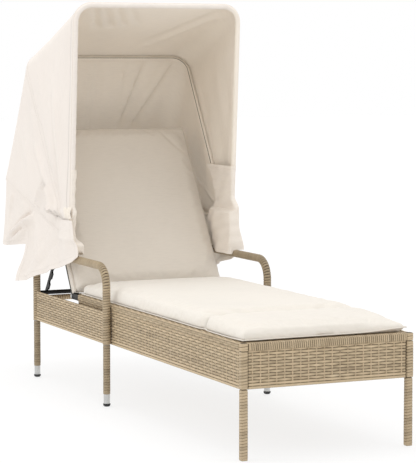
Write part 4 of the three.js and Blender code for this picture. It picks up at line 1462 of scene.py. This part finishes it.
def padded_cushion(
    node, body, half, start, end, height, edge, swell, place, tilt,
    seam=None, pull=CUSHION_PULL, taper=lambda x, y: 1.0,
):
    """A pad of cloth swollen on its sewn edge, with piping round it."""
    settings = bpy.context.scene.lounger_cushions
    inset = CUSHION_INSET
    firm = height - swell * 0.2
    obj = cushion_shell(
        "padded_" + node, half - inset, start + inset, end - inset, firm, edge, seam, pull, taper
    )
    remesh(obj, settings.voxel)
    points = coordinates(obj.data)
    x, y, z = points.T
    sewn = edge(x, y)
    side = np.minimum(half - np.abs(x), np.minimum(y - start, end - y))
    rim = bell(side, 0.014) * bell(z - sewn, 0.010)
    under = smooth_step((0.004 - z) / 0.004)
    top = sewn + 0.93 * (firm * taper(x, y) - sewn)
    ridge = bell(side - inset - 0.010, 0.007) * bell(z - top, 0.009)
    hold = np.maximum(np.maximum(rim, under), ridge)
    if seam is not None:
        hold = np.maximum(hold, bell(y - seam, 0.007) * (z > sewn))
    hold = np.where(hold > 0.5, 1.0, 0.0)
    inflate(obj, hold, swell)
    points = coordinates(obj.data)
    bulge = inset + 0.007
    limit = half - inset + bulge
    points[:, 0] = np.clip(points[:, 0], -limit, limit)
    points[:, 1] = np.clip(points[:, 1], start + inset - bulge, end - inset + bulge)
    most = (height + 0.004) * (0.15 + 0.85 * taper(points[:, 0], points[:, 1]))
    points[:, 2] = np.clip(points[:, 2], 0, most)
    put_coordinates(obj.data, points)
    subdivide(obj)
    points = coordinates(obj.data)
    x, y, z = points.T
    if seam is not None:
        sewn = edge(x, y)
        line = smooth_step((z - sewn) / 0.01)
        points[:, 2] -= 0.006 * bell(y - seam, 0.006) * line
        put_coordinates(obj.data, points)
        # Painted shade along the sewn groove, stored as seam.
        marked(obj, "seam", bell(y - seam, 0.008) * line)
    obj.data.transform(place)
    obj.data.materials.clear()
    obj.data.materials.append(cushion_cloth(tilt))
    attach(obj, body)
    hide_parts(node)
    path = rim_path(half - inset + 0.001, start + inset - 0.001, end - inset + 0.001, edge, seam, pull)
    piping = tube("piping_" + node, path, settings.piping, cushion_cloth(tilt))
    piping.data.transform(place)
    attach(piping, body)
    return obj


class LOUNGER_OT_seat_cushion(bpy.types.Operator):
    """Makes the long seat cushion with its sewn line and piping"""

    bl_idname = "lounger.seat_cushion"
    bl_label = "Seat Cushion"

    def execute(self, context):
        lo, hi = low("seat_cushion"), high("seat_cushion")
        place = Matrix.Translation((0, 0, lo.z))

        def edge(x, y):
            front = bell(y - lo.y, 0.06)
            ear = bell(x - hi.x, 0.09) * bell(y - lo.y, 0.09)
            return 0.0026 + 0.0030 * front + 0.009 * ear

        def taper(x, y):
            front = bell(y - lo.y, 0.10)
            corner = bell(hi.x - x, 0.12) * bell(y - lo.y, 0.22)
            rear = bell(y - hi.y, 0.13)
            return 1 - 0.20 * front - 0.24 * corner - 0.22 * rear

        padded_cushion(
            "seat_cushion", "seat_frame", hi.x, lo.y, hi.y, hi.z - lo.z, edge,
            context.scene.lounger_cushions.seat_swell, place, 0.0, seam=-0.695, taper=taper,
        )
        return {"FINISHED"}


class LOUNGER_OT_back_cushion(bpy.types.Operator):
    """Makes the back cushion that leans on the backrest"""

    bl_idname = "lounger.back_cushion"
    bl_label = "Back Cushion"

    def execute(self, context):
        half = high("back_cushion").x
        place = Matrix.Translation(HINGE) @ Matrix.Rotation(RAISED, 4, "X")
        place = place @ Matrix.Translation((0, 0, 0.0103))
        padded_cushion(
            "back_cushion", "backrest", half + 0.004, -0.003, 0.633, 0.058,
            lambda x, y: 0.016 + 0 * x, context.scene.lounger_cushions.back_swell, place, RAISED, pull=0.0,
        )
        border = high("back_stile_right").x
        rim = [(-border, 0.004), (-border, 0.618), (border, 0.618), (border, 0.004)]
        line = np.array([tuple(p) for p in bent_path([(x, y, 0) for x, y in rim], 0.012, 6)])
        ahead = unit(np.gradient(line, axis=0))
        out = np.stack([-ahead[:, 1], ahead[:, 0], 0 * ahead[:, 0]], -1)
        section = (
            (0.0006, -0.0050), (0.0024, -0.0046), (0.0030, 0.0040), (0.0022, 0.0200), (-0.0030, 0.0210),
        )
        rings = np.array([line + out * a + np.array([0, 0, b]) for a, b in section])
        count, sides = len(line), len(section)
        vertices = np.moveaxis(rings, 0, 1).reshape(-1, 3)
        faces = ring_faces(count, sides) + end_faces(count, sides)
        strip = piece_from(
            "back_cushion_border", vertices, faces, cushion_cloth(RAISED), crease=math.radians(50)
        )
        strip.data.transform(place)
        face_outwards(strip)
        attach(strip, "backrest")
        return {"FINISHED"}


# Canopy

def crease_parts(y, z, start, end, width):
    """The ridge and the sharper valley beside it along a line, fading at its ends."""
    start, end = np.array(start), np.array(end)
    run = end - start
    size = float(np.hypot(*run))
    run = run / size
    along = (y - start[0]) * run[0] + (z - start[1]) * run[1]
    away = (y - start[0]) * run[1] - (z - start[1]) * run[0]
    fade = np.exp(-((np.maximum(0, -along) / width) ** 2) - (np.maximum(0, along - size) / width) ** 2)
    return fade * bell(away - width, width), fade * bell(away, 0.5 * width)


def crease(y, z, start, end, width, depth):
    ridge, valley = crease_parts(y, z, start, end, width)
    return depth * (ridge - 0.75 * valley)


LEFT_FOLDS = (
    ((0.600, 0.800), (0.519, 0.700), 0.018, 0.004),
    ((0.519, 0.700), (0.585, 0.641), 0.016, 0.009),
    ((0.479, 0.675), (0.430, 0.600), 0.016, 0.010),
    ((0.430, 0.600), (0.341, 0.591), 0.015, 0.009),
    ((0.649, 0.594), (0.887, 0.486), 0.018, 0.012),
    ((0.716, 0.529), (0.783, 0.495), 0.014, 0.008),
    ((0.880, 0.541), (0.839, 0.632), 0.016, 0.003),
    ((0.360, 0.540), (0.560, 0.400), 0.024, 0.002),
    ((0.450, 0.560), (0.690, 0.380), 0.024, 0.002),
    ((0.430, 0.980), (0.390, 0.700), 0.030, 0.004),
)
RIGHT_FOLDS = (
    ((0.463, 0.756), (0.653, 1.104), 0.024, 0.006),
    ((0.390, 0.640), (0.560, 0.900), 0.020, 0.007),
    ((0.430, 0.600), (0.620, 0.700), 0.018, 0.008),
    ((0.340, 0.560), (0.600, 0.470), 0.018, 0.008),
    ((0.840, 0.500), (0.500, 0.560), 0.018, 0.009),
    ((0.300, 1.200), (0.340, 0.800), 0.030, 0.004),
)


def side_folds(sign, y, z):
    """How far the folds push the side cloth out."""
    out = np.zeros_like(y)
    for start, end, width, depth in LEFT_FOLDS if sign < 0 else RIGHT_FOLDS:
        out = out + crease(y, z, start, end, width, depth)
    slope = 0.0022 * np.sin(31 * y + 9 * z + sign) + 0.0014 * np.sin(57 * y - 21 * z + 2 * sign)
    return ((2.3 if sign < 0 else 1.2) * out + slope) * bpy.context.scene.lounger_canopy.fold_depth


def fold_shade(points):
    """How deep in a crease of the side cloth each point lies, from 0 to 1."""
    x, y, z = np.moveaxis(points, -1, 0)
    shade = np.zeros_like(y)
    for side, folds in ((x < -0.29, LEFT_FOLDS), (x > 0.29, RIGHT_FOLDS)):
        for start, end, width, depth in folds:
            shade = shade + side * crease_parts(y, z, start, end, width)[1] * depth / 0.012
    return np.clip(shade, 0, 1)


def polar(x, reach, angle):
    return np.stack([x, PIVOT.y + reach * np.cos(angle), PIVOT.z + reach * np.sin(angle)], -1)


def canopy_outline(top, half):
    """One cut across the canopy: width, reach and share of height, right to left."""
    flat_half = half - CLOTH_CORNER
    leg_end = top - CLOTH_CORNER
    rows = []
    for s in np.linspace(0, 1, 34):
        rows.append((CLOTH_X + (half - CLOTH_X) * s, CLOTH_NEAR + (leg_end - CLOTH_NEAR) * s, s))
    for n in range(1, 11):
        turn = math.pi / 2 * n / 10
        aside, ahead = CLOTH_CORNER * math.cos(turn), CLOTH_CORNER * math.sin(turn)
        rows.append((flat_half + aside, leg_end + ahead, 1.0))
    left = [(-x, r, s) for x, r, s in rows]
    roof = [(flat_half - 2 * flat_half * s, top, 1.0) for s in np.linspace(0, 1, 44)[1:-1]]
    return np.array(rows + roof + left[::-1])


ROOF_FOLDS = {
    "front": (
        ((-0.225, 0.09), (-0.160, 0.44), 0.012, 0.011),
        ((-0.190, 0.10), (-0.112, 0.42), 0.012, 0.013),
        ((-0.143, 0.10), (-0.067, 0.40), 0.011, 0.012),
        ((-0.095, 0.10), (-0.020, 0.36), 0.011, 0.009),
        ((0.118, 0.75), (0.291, 0.11), 0.022, 0.007),
    ),
    "back": (
        ((0.142, 0.05), (0.100, 0.51), 0.020, 0.015),
        ((0.249, 0.09), (0.153, 0.53), 0.022, 0.017),
        ((0.075, 0.05), (0.080, 0.23), 0.014, 0.009),
        ((-0.180, 0.08), (-0.120, 0.60), 0.022, 0.010),
        ((-0.050, 0.10), (-0.020, 0.70), 0.020, 0.009),
    ),
}


ROOF_OUT = 0.0086
CANOPY_STEPS = 44


def canopy_grid(first, second, kind):
    """The cloth from one bow to the next, cut by cut, with its folds."""
    grid = []
    start, end = (
        PIVOT.yz + Vector((math.cos(bow["angle"]), math.sin(bow["angle"]))) * (bow["reach"] + ROOF_OUT)
        for bow in (first, second)
    )
    near_hem = np.linspace(0, 0.06, 13) if kind == "front" else []
    for s in np.unique(np.round(np.concatenate([np.linspace(0, 1, CANOPY_STEPS + 1), near_hem]), 6)):
        swell = math.sin(math.pi * s)
        ridge = start.lerp(end, s) - PIVOT.yz
        top = ridge.length - 0.003 * swell
        half = first["top"] + (second["top"] - first["top"]) * s + CLOTH_OUT
        angle = math.atan2(ridge.y, ridge.x)
        x, reach, up = canopy_outline(top, half).T
        roof = smooth_step((reach - (top - CLOTH_CORNER)) / CLOTH_CORNER)
        for (x0, s0), (x1, s1), width, depth in ROOF_FOLDS[kind]:
            fold = crease(x, s * 0.45, (x0, s0 * 0.45), (x1, s1 * 0.45), width, depth)
            reach = reach + fold * roof * min(1, 3 * swell)
        outward = np.sign(x) * 0.005 * swell * np.sin(math.pi * up)
        points = polar(x + outward, reach, angle)
        calm = min(1, 2.2 * swell) * np.clip(up * 8, 0, 1) * smooth_step((1 - up) * 6)
        for sign in (-1, 1):
            here = (np.sign(x) == sign) * calm
            points[:, 0] += sign * here * side_folds(sign, points[:, 1], points[:, 2])
        grid.append(points)
    return np.array(grid)


def grid_normals(grid):
    across = np.gradient(grid, axis=1)
    down = np.gradient(grid, axis=0)
    normal = np.cross(down, across)
    return normal / np.maximum(np.linalg.norm(normal, axis=2, keepdims=True), 1e-12)


def run_lengths(grid, axis):
    """Length of cloth from the grid's first line to each point."""
    step = np.linalg.norm(np.diff(grid, axis=axis), axis=2)
    total = np.cumsum(step, axis=axis)
    pad = [(0, 0), (0, 0)]
    pad[axis] = (1, 0)
    return np.pad(total, pad)


def edge_axis(edge):
    return 0 if edge in ("top", "bottom") else 1


def from_edge(grid, edge):
    """Length of cloth from one edge of a grid to each point."""
    run = run_lengths(grid, edge_axis(edge))
    return run if edge in ("top", "start") else np.take(run, [-1], edge_axis(edge)) - run


def cloth_shell(name, grid, body=None, hems=(), thickness=None, lined=(0.0, 1.0), seam=None):
    """A closed sheet on the grid's outer side, thicker along its hems, with a flat UV.

    Lined gives the outer and the inner face's share of the lining's tone.
    """
    settings = bpy.context.scene.lounger_canopy
    thick = thickness or settings.thickness
    rows, cols = grid.shape[:2]
    u, v = run_lengths(grid, 1), run_lengths(grid, 0)
    extra = np.zeros((rows, cols))
    for edge in hems:
        extra = np.maximum(extra, smooth_step((0.020 - from_edge(grid, edge)) / 0.0035))
    normal = grid_normals(grid)
    outer = grid + normal * (thick + 0.0008 * extra)[..., None]
    inner = grid - normal * (0.0004 * extra)[..., None]
    count = rows * cols
    vertices = np.concatenate([outer.reshape(-1, 3), inner.reshape(-1, 3)])
    index = np.arange(count).reshape(rows, cols)
    a, b, c, d = index[:-1, :-1], index[1:, :-1], index[1:, 1:], index[:-1, 1:]
    front = np.stack([a, b, c, d], -1).reshape(-1, 4)
    back = np.stack([a, d, c, b], -1).reshape(-1, 4) + count
    ring = np.concatenate([index[0, :], index[1:, -1], index[-1, -2::-1], index[-2:0:-1, 0]])
    following = np.roll(ring, -1)
    side = np.stack([ring, following, following + count, ring + count], -1)
    faces = np.concatenate([front, back, side])
    obj = piece_from(name, vertices, faces.tolist(), canopy_cloth(), crease=math.radians(55))
    marked(obj, "lining", lined(vertices) if callable(lined) else np.repeat(lined, count))
    # Painted shade in the creases of the side cloth and along the seam line, stored as seam on the outer
    # face only.
    dark = 0.9 * fold_shade(grid)
    if seam:
        dark = np.maximum(dark, bell(v - seam, 0.0036))
    marked(obj, "seam", np.concatenate([dark.ravel(), 0 * dark.ravel()]))
    layer = obj.data.uv_layers.new(name="cut")
    flat = np.stack([u, v], -1).reshape(-1, 2)
    flat = np.concatenate([flat, flat])
    corners = np.empty(len(obj.data.loops), dtype=np.int32)
    obj.data.loops.foreach_get("vertex_index", corners)
    layer.data.foreach_set("uv", flat[corners].ravel())
    face_outwards(obj)
    if body:
        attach(obj, body)
    return obj


HEM_STITCHES = 0.017
BOW_STITCHES = 0.011
POCKET_STITCHES = 0.012


def cut_size(grid):
    """Width, length and area of the cloth in a grid, laid flat."""
    down = np.linalg.norm(np.diff(grid, axis=0), axis=2)
    over = np.linalg.norm(np.diff(grid, axis=1), axis=2)
    width, height = over.sum(axis=1).max(), down.sum(axis=0).max()
    one = np.cross(grid[1:, :-1] - grid[:-1, :-1], grid[:-1, 1:] - grid[:-1, :-1])
    two = np.cross(grid[1:, :-1] - grid[1:, 1:], grid[:-1, 1:] - grid[1:, 1:])
    area = (np.linalg.norm(one, axis=2).sum() + np.linalg.norm(two, axis=2).sum()) / 2
    return float(width), float(height), float(area)


def declared(grid):
    """Declares a cloth piece with the size that its grid has when laid flat."""
    width, height, area = cut_size(grid)
    area = max(0.3 * width * height, min(area, width * height))


def in_bow_plane(points, angle):
    """Turns points drawn flat, Y along the bow's legs, into the plane of a bow."""
    c, s = math.cos(angle), math.sin(angle)
    y, z = points[..., 1].copy(), points[..., 2].copy()
    points[..., 1] = PIVOT.y + y * c - z * s
    points[..., 2] = PIVOT.z + y * s + z * c
    return points


def stitches(name, lines):
    """Rows of stitches along lines of points."""
    settings = bpy.context.scene.lounger_canopy
    points, edges = [], []
    for line in lines:
        first = len(points)
        points += [tuple(float(part) for part in p) for p in line]
        edges += [(first + k, first + k + 1) for k in range(len(line) - 1)]
    return grown(
        name,
        stitch_run(),
        {
            "Spacing": settings.stitch_spacing,
            "Stitch Length": settings.stitch_spacing * 0.66,
            "Thread": 0.0009,
            "Strand": sewing_thread(),
        },
        points=points,
        edges=edges,
    )


def seam_lines(grid, away, thickness, edges):
    """Lines on both faces of a sheet at a distance from its edges."""
    normal = grid_normals(grid)
    lines = []
    for edge in edges:
        axis = edge_axis(edge)
        pick = np.argmin(np.abs(from_edge(grid, edge) - away), axis=axis)
        pick = np.expand_dims(pick, (axis, 2))
        place, out = (np.take_along_axis(part, pick, axis).squeeze(axis) for part in (grid, normal))
        lines.append(place + out * (thickness + 0.001))
        lines.append(place - out * 0.0005)
    return lines


class LOUNGER_OT_canopy(bpy.types.Operator):
    """Stretches the cloth between the bows, with its folds"""

    bl_idname = "lounger.canopy"
    bl_label = "Canopy Cloth"

    def execute(self, context):
        thick = context.scene.lounger_canopy.thickness
        for kind, first, second, bodies in (
            ("front", "front", "mid", ("canopy_middle", "canopy_fore")),
            ("back", "mid", "rear", ("seat_frame", "canopy_middle")),
        ):
            grid = canopy_grid(BOWS[first], BOWS[second], kind)
            hems = ("top",) if kind == "front" else ()
            # The front cloth gets a line of painted shade along its hem seam.
            obj = cloth_shell("canopy_cloth_" + kind, grid, hems=hems, seam=0.0185 if hems else None)
            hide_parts("canopy_" + kind)
            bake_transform(obj)
            lines = seam_lines(grid, HEM_STITCHES if hems else BOW_STITCHES, thick, ("top",))
            lines += seam_lines(grid, BOW_STITCHES, thick, ("bottom",))
            threads = stitches("canopy_stitches_" + kind, lines)
            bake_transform(threads)
            declared(grid)
        return {"FINISHED"}


def sleeve_shell(which, radius, body, pucker):
    """Cloth sleeve sewn round a bow."""
    bow = BOWS[which]
    angle, reach, top = bow["angle"], bow["reach"], bow["top"]
    flat = bent_path(
        [(-BOW_X, BOW_START + 0.012, 0), (-top, reach, 0), (top, reach, 0), (BOW_X, BOW_START + 0.012, 0)],
        BOW_CORNER,
        12,
    )
    points = np.array([tuple(p) for p in flat])
    run = np.concatenate([[0], np.cumsum(np.linalg.norm(np.diff(points, axis=0), axis=1))])
    even = np.linspace(0, run[-1], 300)
    points = np.stack([np.interp(even, run, points[:, k]) for k in range(3)], -1)
    up = np.array([0.0, 0.0, 1.0])
    aside = np.cross(unit(np.gradient(points, axis=0)), up)
    sides = 20
    turns = np.linspace(0, 2 * math.pi, sides + 1)
    ripple = pucker * (
        np.sin(even[:, None] * 210 + 3 * np.sin(even[:, None] * 17))
        * np.cos(turns[None, :] + 0.4)
        + 0.6 * np.sin(even[:, None] * 95 + 1.3) * np.sin(2 * turns[None, :])
    )
    size = radius + ripple
    cosines, sines = np.cos(turns)[None, :, None], np.sin(turns)[None, :, None]
    grid = points[:, None] + size[..., None] * (cosines * aside[:, None] + sines * up)
    in_bow_plane(grid, angle)
    settings = bpy.context.scene.lounger_canopy

    def lined(points):
        # Only the right side of the front sleeve takes the paler lining tone: painted light.
        right = smooth_step((points[:, 0] - 0.235) / 0.06)
        return right if which == "front" else np.ones(len(points))

    name = "canopy_sleeve_" + which
    return cloth_shell(name, grid, body, thickness=-settings.thickness, lined=lined), grid


def seam_cord(name, bow, radius, body):
    """The dark sewn line where the front section meets the middle sleeve."""
    angle, reach, top = bow["angle"], bow["reach"], bow["top"]
    line = bent_path(
        [(-BOW_X, 0.30, 0), (-top, reach, 0), (top, reach, 0), (BOW_X, 0.30, 0)], BOW_CORNER, 16
    )
    points = np.array([tuple(p) for p in line])
    inward = unit(np.gradient(points, axis=0))
    inward = np.stack([inward[:, 1], -inward[:, 0], 0 * inward[:, 0]], -1)
    points = points + inward * radius * 0.50
    points[:, 2] = radius * 0.95
    cord = sewing_thread("binding_thread")
    obj = tube(name, in_bow_plane(points, angle), 0.0011, cord, closed=False, sides=6)
    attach(obj, body)
    return obj


class LOUNGER_OT_sleeves(bpy.types.Operator):
    """Sews the sleeves that hold the canopy on its bows"""

    bl_idname = "lounger.sleeves"
    bl_label = "Bow Sleeves"

    def execute(self, context):
        radius = context.scene.lounger_canopy.sleeve
        for which, body, size in (
            ("front", "canopy_fore", radius),
            ("mid", "canopy_middle", radius),
            ("rear", "seat_frame", radius - 0.0006),
        ):
            obj, grid = sleeve_shell(which, size, body, 0.0004)
            if which == "mid":
                # The middle sleeve gets a dark cord of painted shadow along its seam.
                seam_cord("shadow_cord_mid", BOWS[which], size, body)
            declared(grid)
        return {"FINISHED"}


POCKET_OUT = 0.0092


def pocket_grid(sign):
    """Cloth folded round the lower ends of the bows, down to the armrest."""
    levels = np.linspace(0.757, 0.4665, 80)
    front_angle, mid_angle = BOWS["front"]["angle"], BOWS["mid"]["angle"]
    grid = []
    for z in levels:
        above = z - PIVOT.z
        low_front = smooth_step((0.652 - z) / 0.042)
        low_inner = smooth_step((0.607 - z) / 0.012)
        bow_y = PIVOT.y + above / math.tan(front_angle)
        front_y = bow_y - POCKET_OUT + (0.2425 - bow_y + POCKET_OUT) * low_front
        rear_y = PIVOT.y + above / math.tan(mid_angle) + 0.004
        inner_x = BOW_X - POCKET_OUT
        if sign < 0:
            front_y = bow_y - POCKET_OUT - 0.010 * bell(z - 0.607, 0.020)
            curl = float(smooth_step((0.534 - z) / 0.030) * smooth_step((z - 0.464) / 0.022))
            front_y -= 0.048 * curl
            inner_x -= 0.014 * curl
            rear_y += (0.349 - rear_y) * low_inner
        else:
            rear_y = max(rear_y, 0.402 + 0.048 * bell(z - 0.565, 0.045))
            inner_x += (0.2665 - inner_x) * low_inner
        outer_x = CLOTH_X - 0.0012 + (0.018 * smooth_step((0.560 - z) / 0.09) if sign > 0 else 0.0)
        bend = 0.007
        path = []
        for t in np.linspace(0, 1, 26)[:-1]:
            back = smooth_step((0.45 - t) / 0.45) * max(0.0, 0.2785 - inner_x) * low_inner
            path.append((inner_x + back, rear_y + (front_y + bend - rear_y) * t, -1, 0))
        for n in range(7):
            turn = math.pi / 2 * n / 6
            path.append((
                inner_x + bend - bend * math.cos(turn), front_y + bend - bend * math.sin(turn),
                -math.cos(turn), -math.sin(turn),
            ))
        for t in np.linspace(0, 1, 7)[1:-1]:
            path.append((inner_x + bend + (outer_x - inner_x - 2 * bend) * t, front_y, 0, -1))
        for n in range(7):
            turn = math.pi / 2 * n / 6
            path.append((
                outer_x - bend + bend * math.sin(turn), front_y + bend - bend * math.cos(turn),
                math.sin(turn), -math.cos(turn),
            ))
        for t in np.linspace(0, 1, 6)[1:]:
            path.append((outer_x, front_y + bend + 0.022 * t, 1, 0))
        grid.append(path)
    grid = np.array(grid)
    x, y, out_x, out_y = np.moveaxis(grid, 2, 0)
    z = np.repeat(levels[:, None], x.shape[1], 1)
    z = z - 0.013 * smooth_step((0.2815 - x) / 0.008) * smooth_step((0.52 - z) / 0.05)
    ripple = 0.0016 * np.sin(70 * y + 34 * z) + 0.0010 * np.sin(160 * z + 40 * y + sign)
    ripple = ripple * (out_x < 0.5)
    return np.stack([sign * (x + out_x * ripple), y + out_y * ripple, z], -1)


def tab_grid(sign):
    """A short loop of tape sewn on the side cloth behind the front bow."""
    s, t = np.meshgrid(np.linspace(0, 1, 41), np.linspace(0, 1, 25))
    front, wide, rise = (0.266, 0.064, 0.0050) if sign < 0 else (0.300, 0.050, 0.0020)
    y = front + wide * s + 0.004 * t
    z = 0.632 - 0.040 * t
    gather = 1 - 0.75 * bell(s - 0.20, 0.05) - 0.75 * bell(s - 0.62, 0.05)
    out = 0.0030 + rise * np.sin(math.pi * t) ** 0.8 * gather
    return np.stack([sign * (CLOTH_X + out), y, z], -1)


class LOUNGER_OT_pockets(bpy.types.Operator):
    """Makes the pockets over the lower ends of the bows, and the small tabs"""

    bl_idname = "lounger.pockets"
    bl_label = "Bow Pockets and Tabs"

    def execute(self, context):
        thick = context.scene.lounger_canopy.thickness
        for name, sign in SIDES:
            grid = pocket_grid(sign)
            if sign < 0:
                grid = grid[:, ::-1]
            # The pocket's faces take the paler lining tone, the outer face in part: painted light.
            obj = cloth_shell("canopy_pocket_" + name, grid, hems=("top", "bottom"), lined=(0.55, 1.0))
            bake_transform(obj)
            lines = seam_lines(grid, POCKET_STITCHES, thick, ("top", "bottom"))
            threads = stitches("pocket_stitches_" + name, lines)
            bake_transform(threads)
            declared(grid)
            grid = tab_grid(sign)
            if sign > 0:
                grid = grid[:, ::-1]
            tab = cloth_shell("canopy_tab_" + name, grid, hems=("top", "bottom"))
            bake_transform(tab)
            declared(grid)
        return {"FINISHED"}


CURTAIN_ROWS = 34
BACK_HANG = 0.0283
TAIL_START = 0.690
FLAP_HEM = (
    (0.215, 0.470), (0.250, 0.449), (0.339, 0.425), (0.420, 0.409),
    (0.482, 0.392), (0.587, 0.368), (0.685, 0.345), (0.751, 0.338),
)


def rear_frame():
    """The rear bow, the top of its cloth, where the cloth's corner starts and its half width."""
    rear = BOWS["rear"]
    angle, reach = rear["angle"], rear["reach"]
    top = PIVOT + Vector((0, reach * math.cos(angle), reach * math.sin(angle)))
    top.y += CLOTH_OUT
    return rear, top, top.y - CLOTH_CORNER * math.cos(rear["angle"]), rear["top"] + CLOTH_OUT


def bow_line_x(y):
    rear, _, _, half = rear_frame()
    reach = np.maximum(BOW_START, (y - PIVOT.y) / math.cos(rear["angle"]))
    return CLOTH_X + (half - CLOTH_X) * (reach - BOW_START) / (rear["reach"] - BOW_START)


def bow_line_z(y):
    return PIVOT.z + (y - PIVOT.y) * math.tan(BOWS["rear"]["angle"])


def side_curtain_grid(sign, kind, steps):
    """Cloth below the rear bow on one side: the loose flap, or the tail behind it."""
    _, _, corner_y, _ = rear_frame()
    hem = np.array(FLAP_HEM)
    drop = np.linspace(0, 1, CURTAIN_ROWS + 1)[:, None]
    calm = smooth_step(drop * 5)
    s = np.linspace(0, 1, steps + 1)[None, :]
    if kind == "flap":
        first, near = (0.258, 0.215) if sign < 0 else (0.282, 0.282)
        top_y = first + (TAIL_START - first) * s
        low_y = near + (0.751 - near) * s
        low_z = np.interp(low_y, hem[:, 0], hem[:, 1])
        over = smooth_step((0.405 - top_y) / 0.05)
        top_z = np.maximum(0.520 - 0.015 * s + 0.068 * over, bow_line_z(top_y))
        z = top_z + (low_z - top_z) * drop
        lower = smooth_step((0.482 - z) / (0.482 - low_z))
        down = np.clip((top_z - z) / (top_z - low_z), 0, 1)
        y = top_y + (low_y - top_y) * down ** (1 + 2 * s) * (1 - s) + (low_y - top_y) * lower * s
        flare = (0.010 if sign < 0 else 0.004 + 0.006 * s) * drop ** 2 + 0.006 * drop * s
        front = bell(s, 0.10)
        folds = 0.010 * drop * (1 - np.cos(2 * math.pi * (3.2 * s + 0.25 * drop))) / 2
        out = flare + folds - 0.012 * front * smooth_step((drop - 0.45) / 0.5)
        out = out + 0.0070 * smooth_step((z - 0.505) / 0.02) * smooth_step((0.400 - y) / 0.02)
        out = out + 0.010 * np.exp(-(((y - PIVOT.y) / 0.028) ** 2) - ((z - PIVOT.z) / 0.028) ** 2)
    else:
        top_y = TAIL_START + (corner_y - TAIL_START) * s
        low_z = 0.474 - 0.022 * s
        top_z = bow_line_z(top_y)
        z = top_z + (low_z - top_z) * drop
        y = top_y + 0 * drop
        out = 0.007 * drop ** 2 + 0.008 * drop * (1 - np.cos(2 * math.pi * 1.4 * s)) / 2 * (1 - s ** 2)
        calm = calm * smooth_step((1 - s) / 0.3)
    x = bow_line_x(y) + out
    x = x + side_folds(sign, y, z) * calm
    return np.stack([sign * x, y, z], -1)


def back_curtain_grid():
    """The curtain across the back, hung in folds."""
    rear, top, corner_y, _ = rear_frame()
    flat_half = bow_line_x(corner_y) - CLOTH_CORNER
    turns = np.linspace(-math.pi / 2, 0, 13)
    straight = np.linspace(-flat_half, flat_half, 92)[1:-1]
    xs = np.concatenate([np.full(13, -flat_half), straight, np.full(13, flat_half)])
    angle = np.concatenate([turns, np.zeros(90), -turns[::-1]])
    x = xs + CLOTH_CORNER * np.sin(angle)
    y = corner_y + (top.y - corner_y) * np.cos(angle)
    out_x, out_y = np.sin(angle), np.cos(angle)
    run = np.concatenate([[0], np.cumsum(np.hypot(np.diff(x), np.diff(y)))])
    travel = run / run[-1]
    fold = (1 - np.cos(2 * math.pi * (5 * travel + 0.10 * np.sin(2 * math.pi * travel * 2)))) / 2
    upper = top.z - (top.y - y) * math.tan(rear["angle"])
    drop = np.linspace(0, 1, CURTAIN_ROWS + 1)[:, None]
    wander = 0.3 * np.sin(2 * math.pi * (7.7 * travel + 0.3 * drop))
    wander = wander + 0.2 * np.sin(2 * math.pi * 13 * travel)
    lean = drop * (0.007 * drop + out_y * BACK_HANG - 0.010 * (fold + 0.25 * wander * drop))
    z = upper + (0.452 + 0.004 * np.sin(2 * math.pi * 3 * travel) - upper) * drop
    return np.stack([x + lean * out_x, y + lean * out_y, z], -1)


def hang(name, threads_name, node, grid, hems):
    """One hanging cloth with its stitched hems, lined on the outer face."""
    obj = cloth_shell(name, grid, "seat_frame", hems, lined=(1.0, 0.0))
    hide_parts(node)
    lines = seam_lines(grid, HEM_STITCHES, bpy.context.scene.lounger_canopy.thickness, hems)
    threads = stitches(threads_name, lines)
    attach(threads, "seat_frame")
    declared(grid)


class LOUNGER_OT_curtains(bpy.types.Operator):
    """Hangs the side flaps and the back curtain below the rear bow"""

    bl_idname = "lounger.curtains"
    bl_label = "Flaps and Curtain"

    def execute(self, context):
        for name, sign in SIDES:
            for kind, steps, hems in (
                ("flap", 84, ("bottom", "start", "end")),
                ("tail", 44, ("bottom",)),
            ):
                grid = side_curtain_grid(sign, kind, steps)
                if sign > 0:
                    grid = grid[:, ::-1]
                piece = kind + "_" + name
                hang("curtain_" + piece, "curtain_stitches_" + piece, "curtain_" + name, grid, hems)
        grid = back_curtain_grid()
        hang("curtain_cloth_back", "curtain_stitches_back", "curtain_back", grid, ("bottom",))
        return {"FINISHED"}


# Panel and registration

OPERATORS = (
    LOUNGER_OT_stage,
    LOUNGER_OT_metalwork,
    LOUNGER_OT_aprons,
    LOUNGER_OT_deck,
    LOUNGER_OT_foot_caps,
    LOUNGER_OT_rails,
    LOUNGER_OT_legs_and_arms,
    LOUNGER_OT_seat_cushion,
    LOUNGER_OT_back_cushion,
    LOUNGER_OT_canopy,
    LOUNGER_OT_sleeves,
    LOUNGER_OT_pockets,
    LOUNGER_OT_curtains,
)
SETTINGS = {
    "lounger_stage": StageSettings,
    "lounger_wicker": WickerSettings,
    "lounger_metal": MetalSettings,
    "lounger_cushions": CushionSettings,
    "lounger_canopy": CanopySettings,
}


class LOUNGER_PT_panel(bpy.types.Panel):
    """Sizes, colours and pieces of the lounger"""

    bl_idname = "LOUNGER_PT_panel"
    bl_label = "Sun Lounger"
    bl_space_type = "VIEW_3D"
    bl_region_type = "UI"
    bl_category = "Lounger"

    def draw(self, context):
        layout = self.layout
        for name, group in SETTINGS.items():
            box = layout.box()
            settings = getattr(context.scene, name)
            for prop in group.__annotations__:
                box.prop(settings, prop)
        column = layout.column()
        for operator in OPERATORS:
            column.operator(operator.bl_idname)


def register():
    for item in (*SETTINGS.values(), *OPERATORS, LOUNGER_PT_panel):
        bpy.utils.register_class(item)
    for name, group in SETTINGS.items():
        setattr(bpy.types.Scene, name, PointerProperty(type=group))


def unregister():
    for name in SETTINGS:
        delattr(bpy.types.Scene, name)
    for item in (LOUNGER_PT_panel, *reversed(OPERATORS), *reversed(SETTINGS.values())):
        bpy.utils.unregister_class(item)


def main():
    register()
    for operator in OPERATORS:
        group, name = operator.bl_idname.split(".")
        getattr(getattr(bpy.ops, group), name)()


if __name__ == "__main__":
    main()
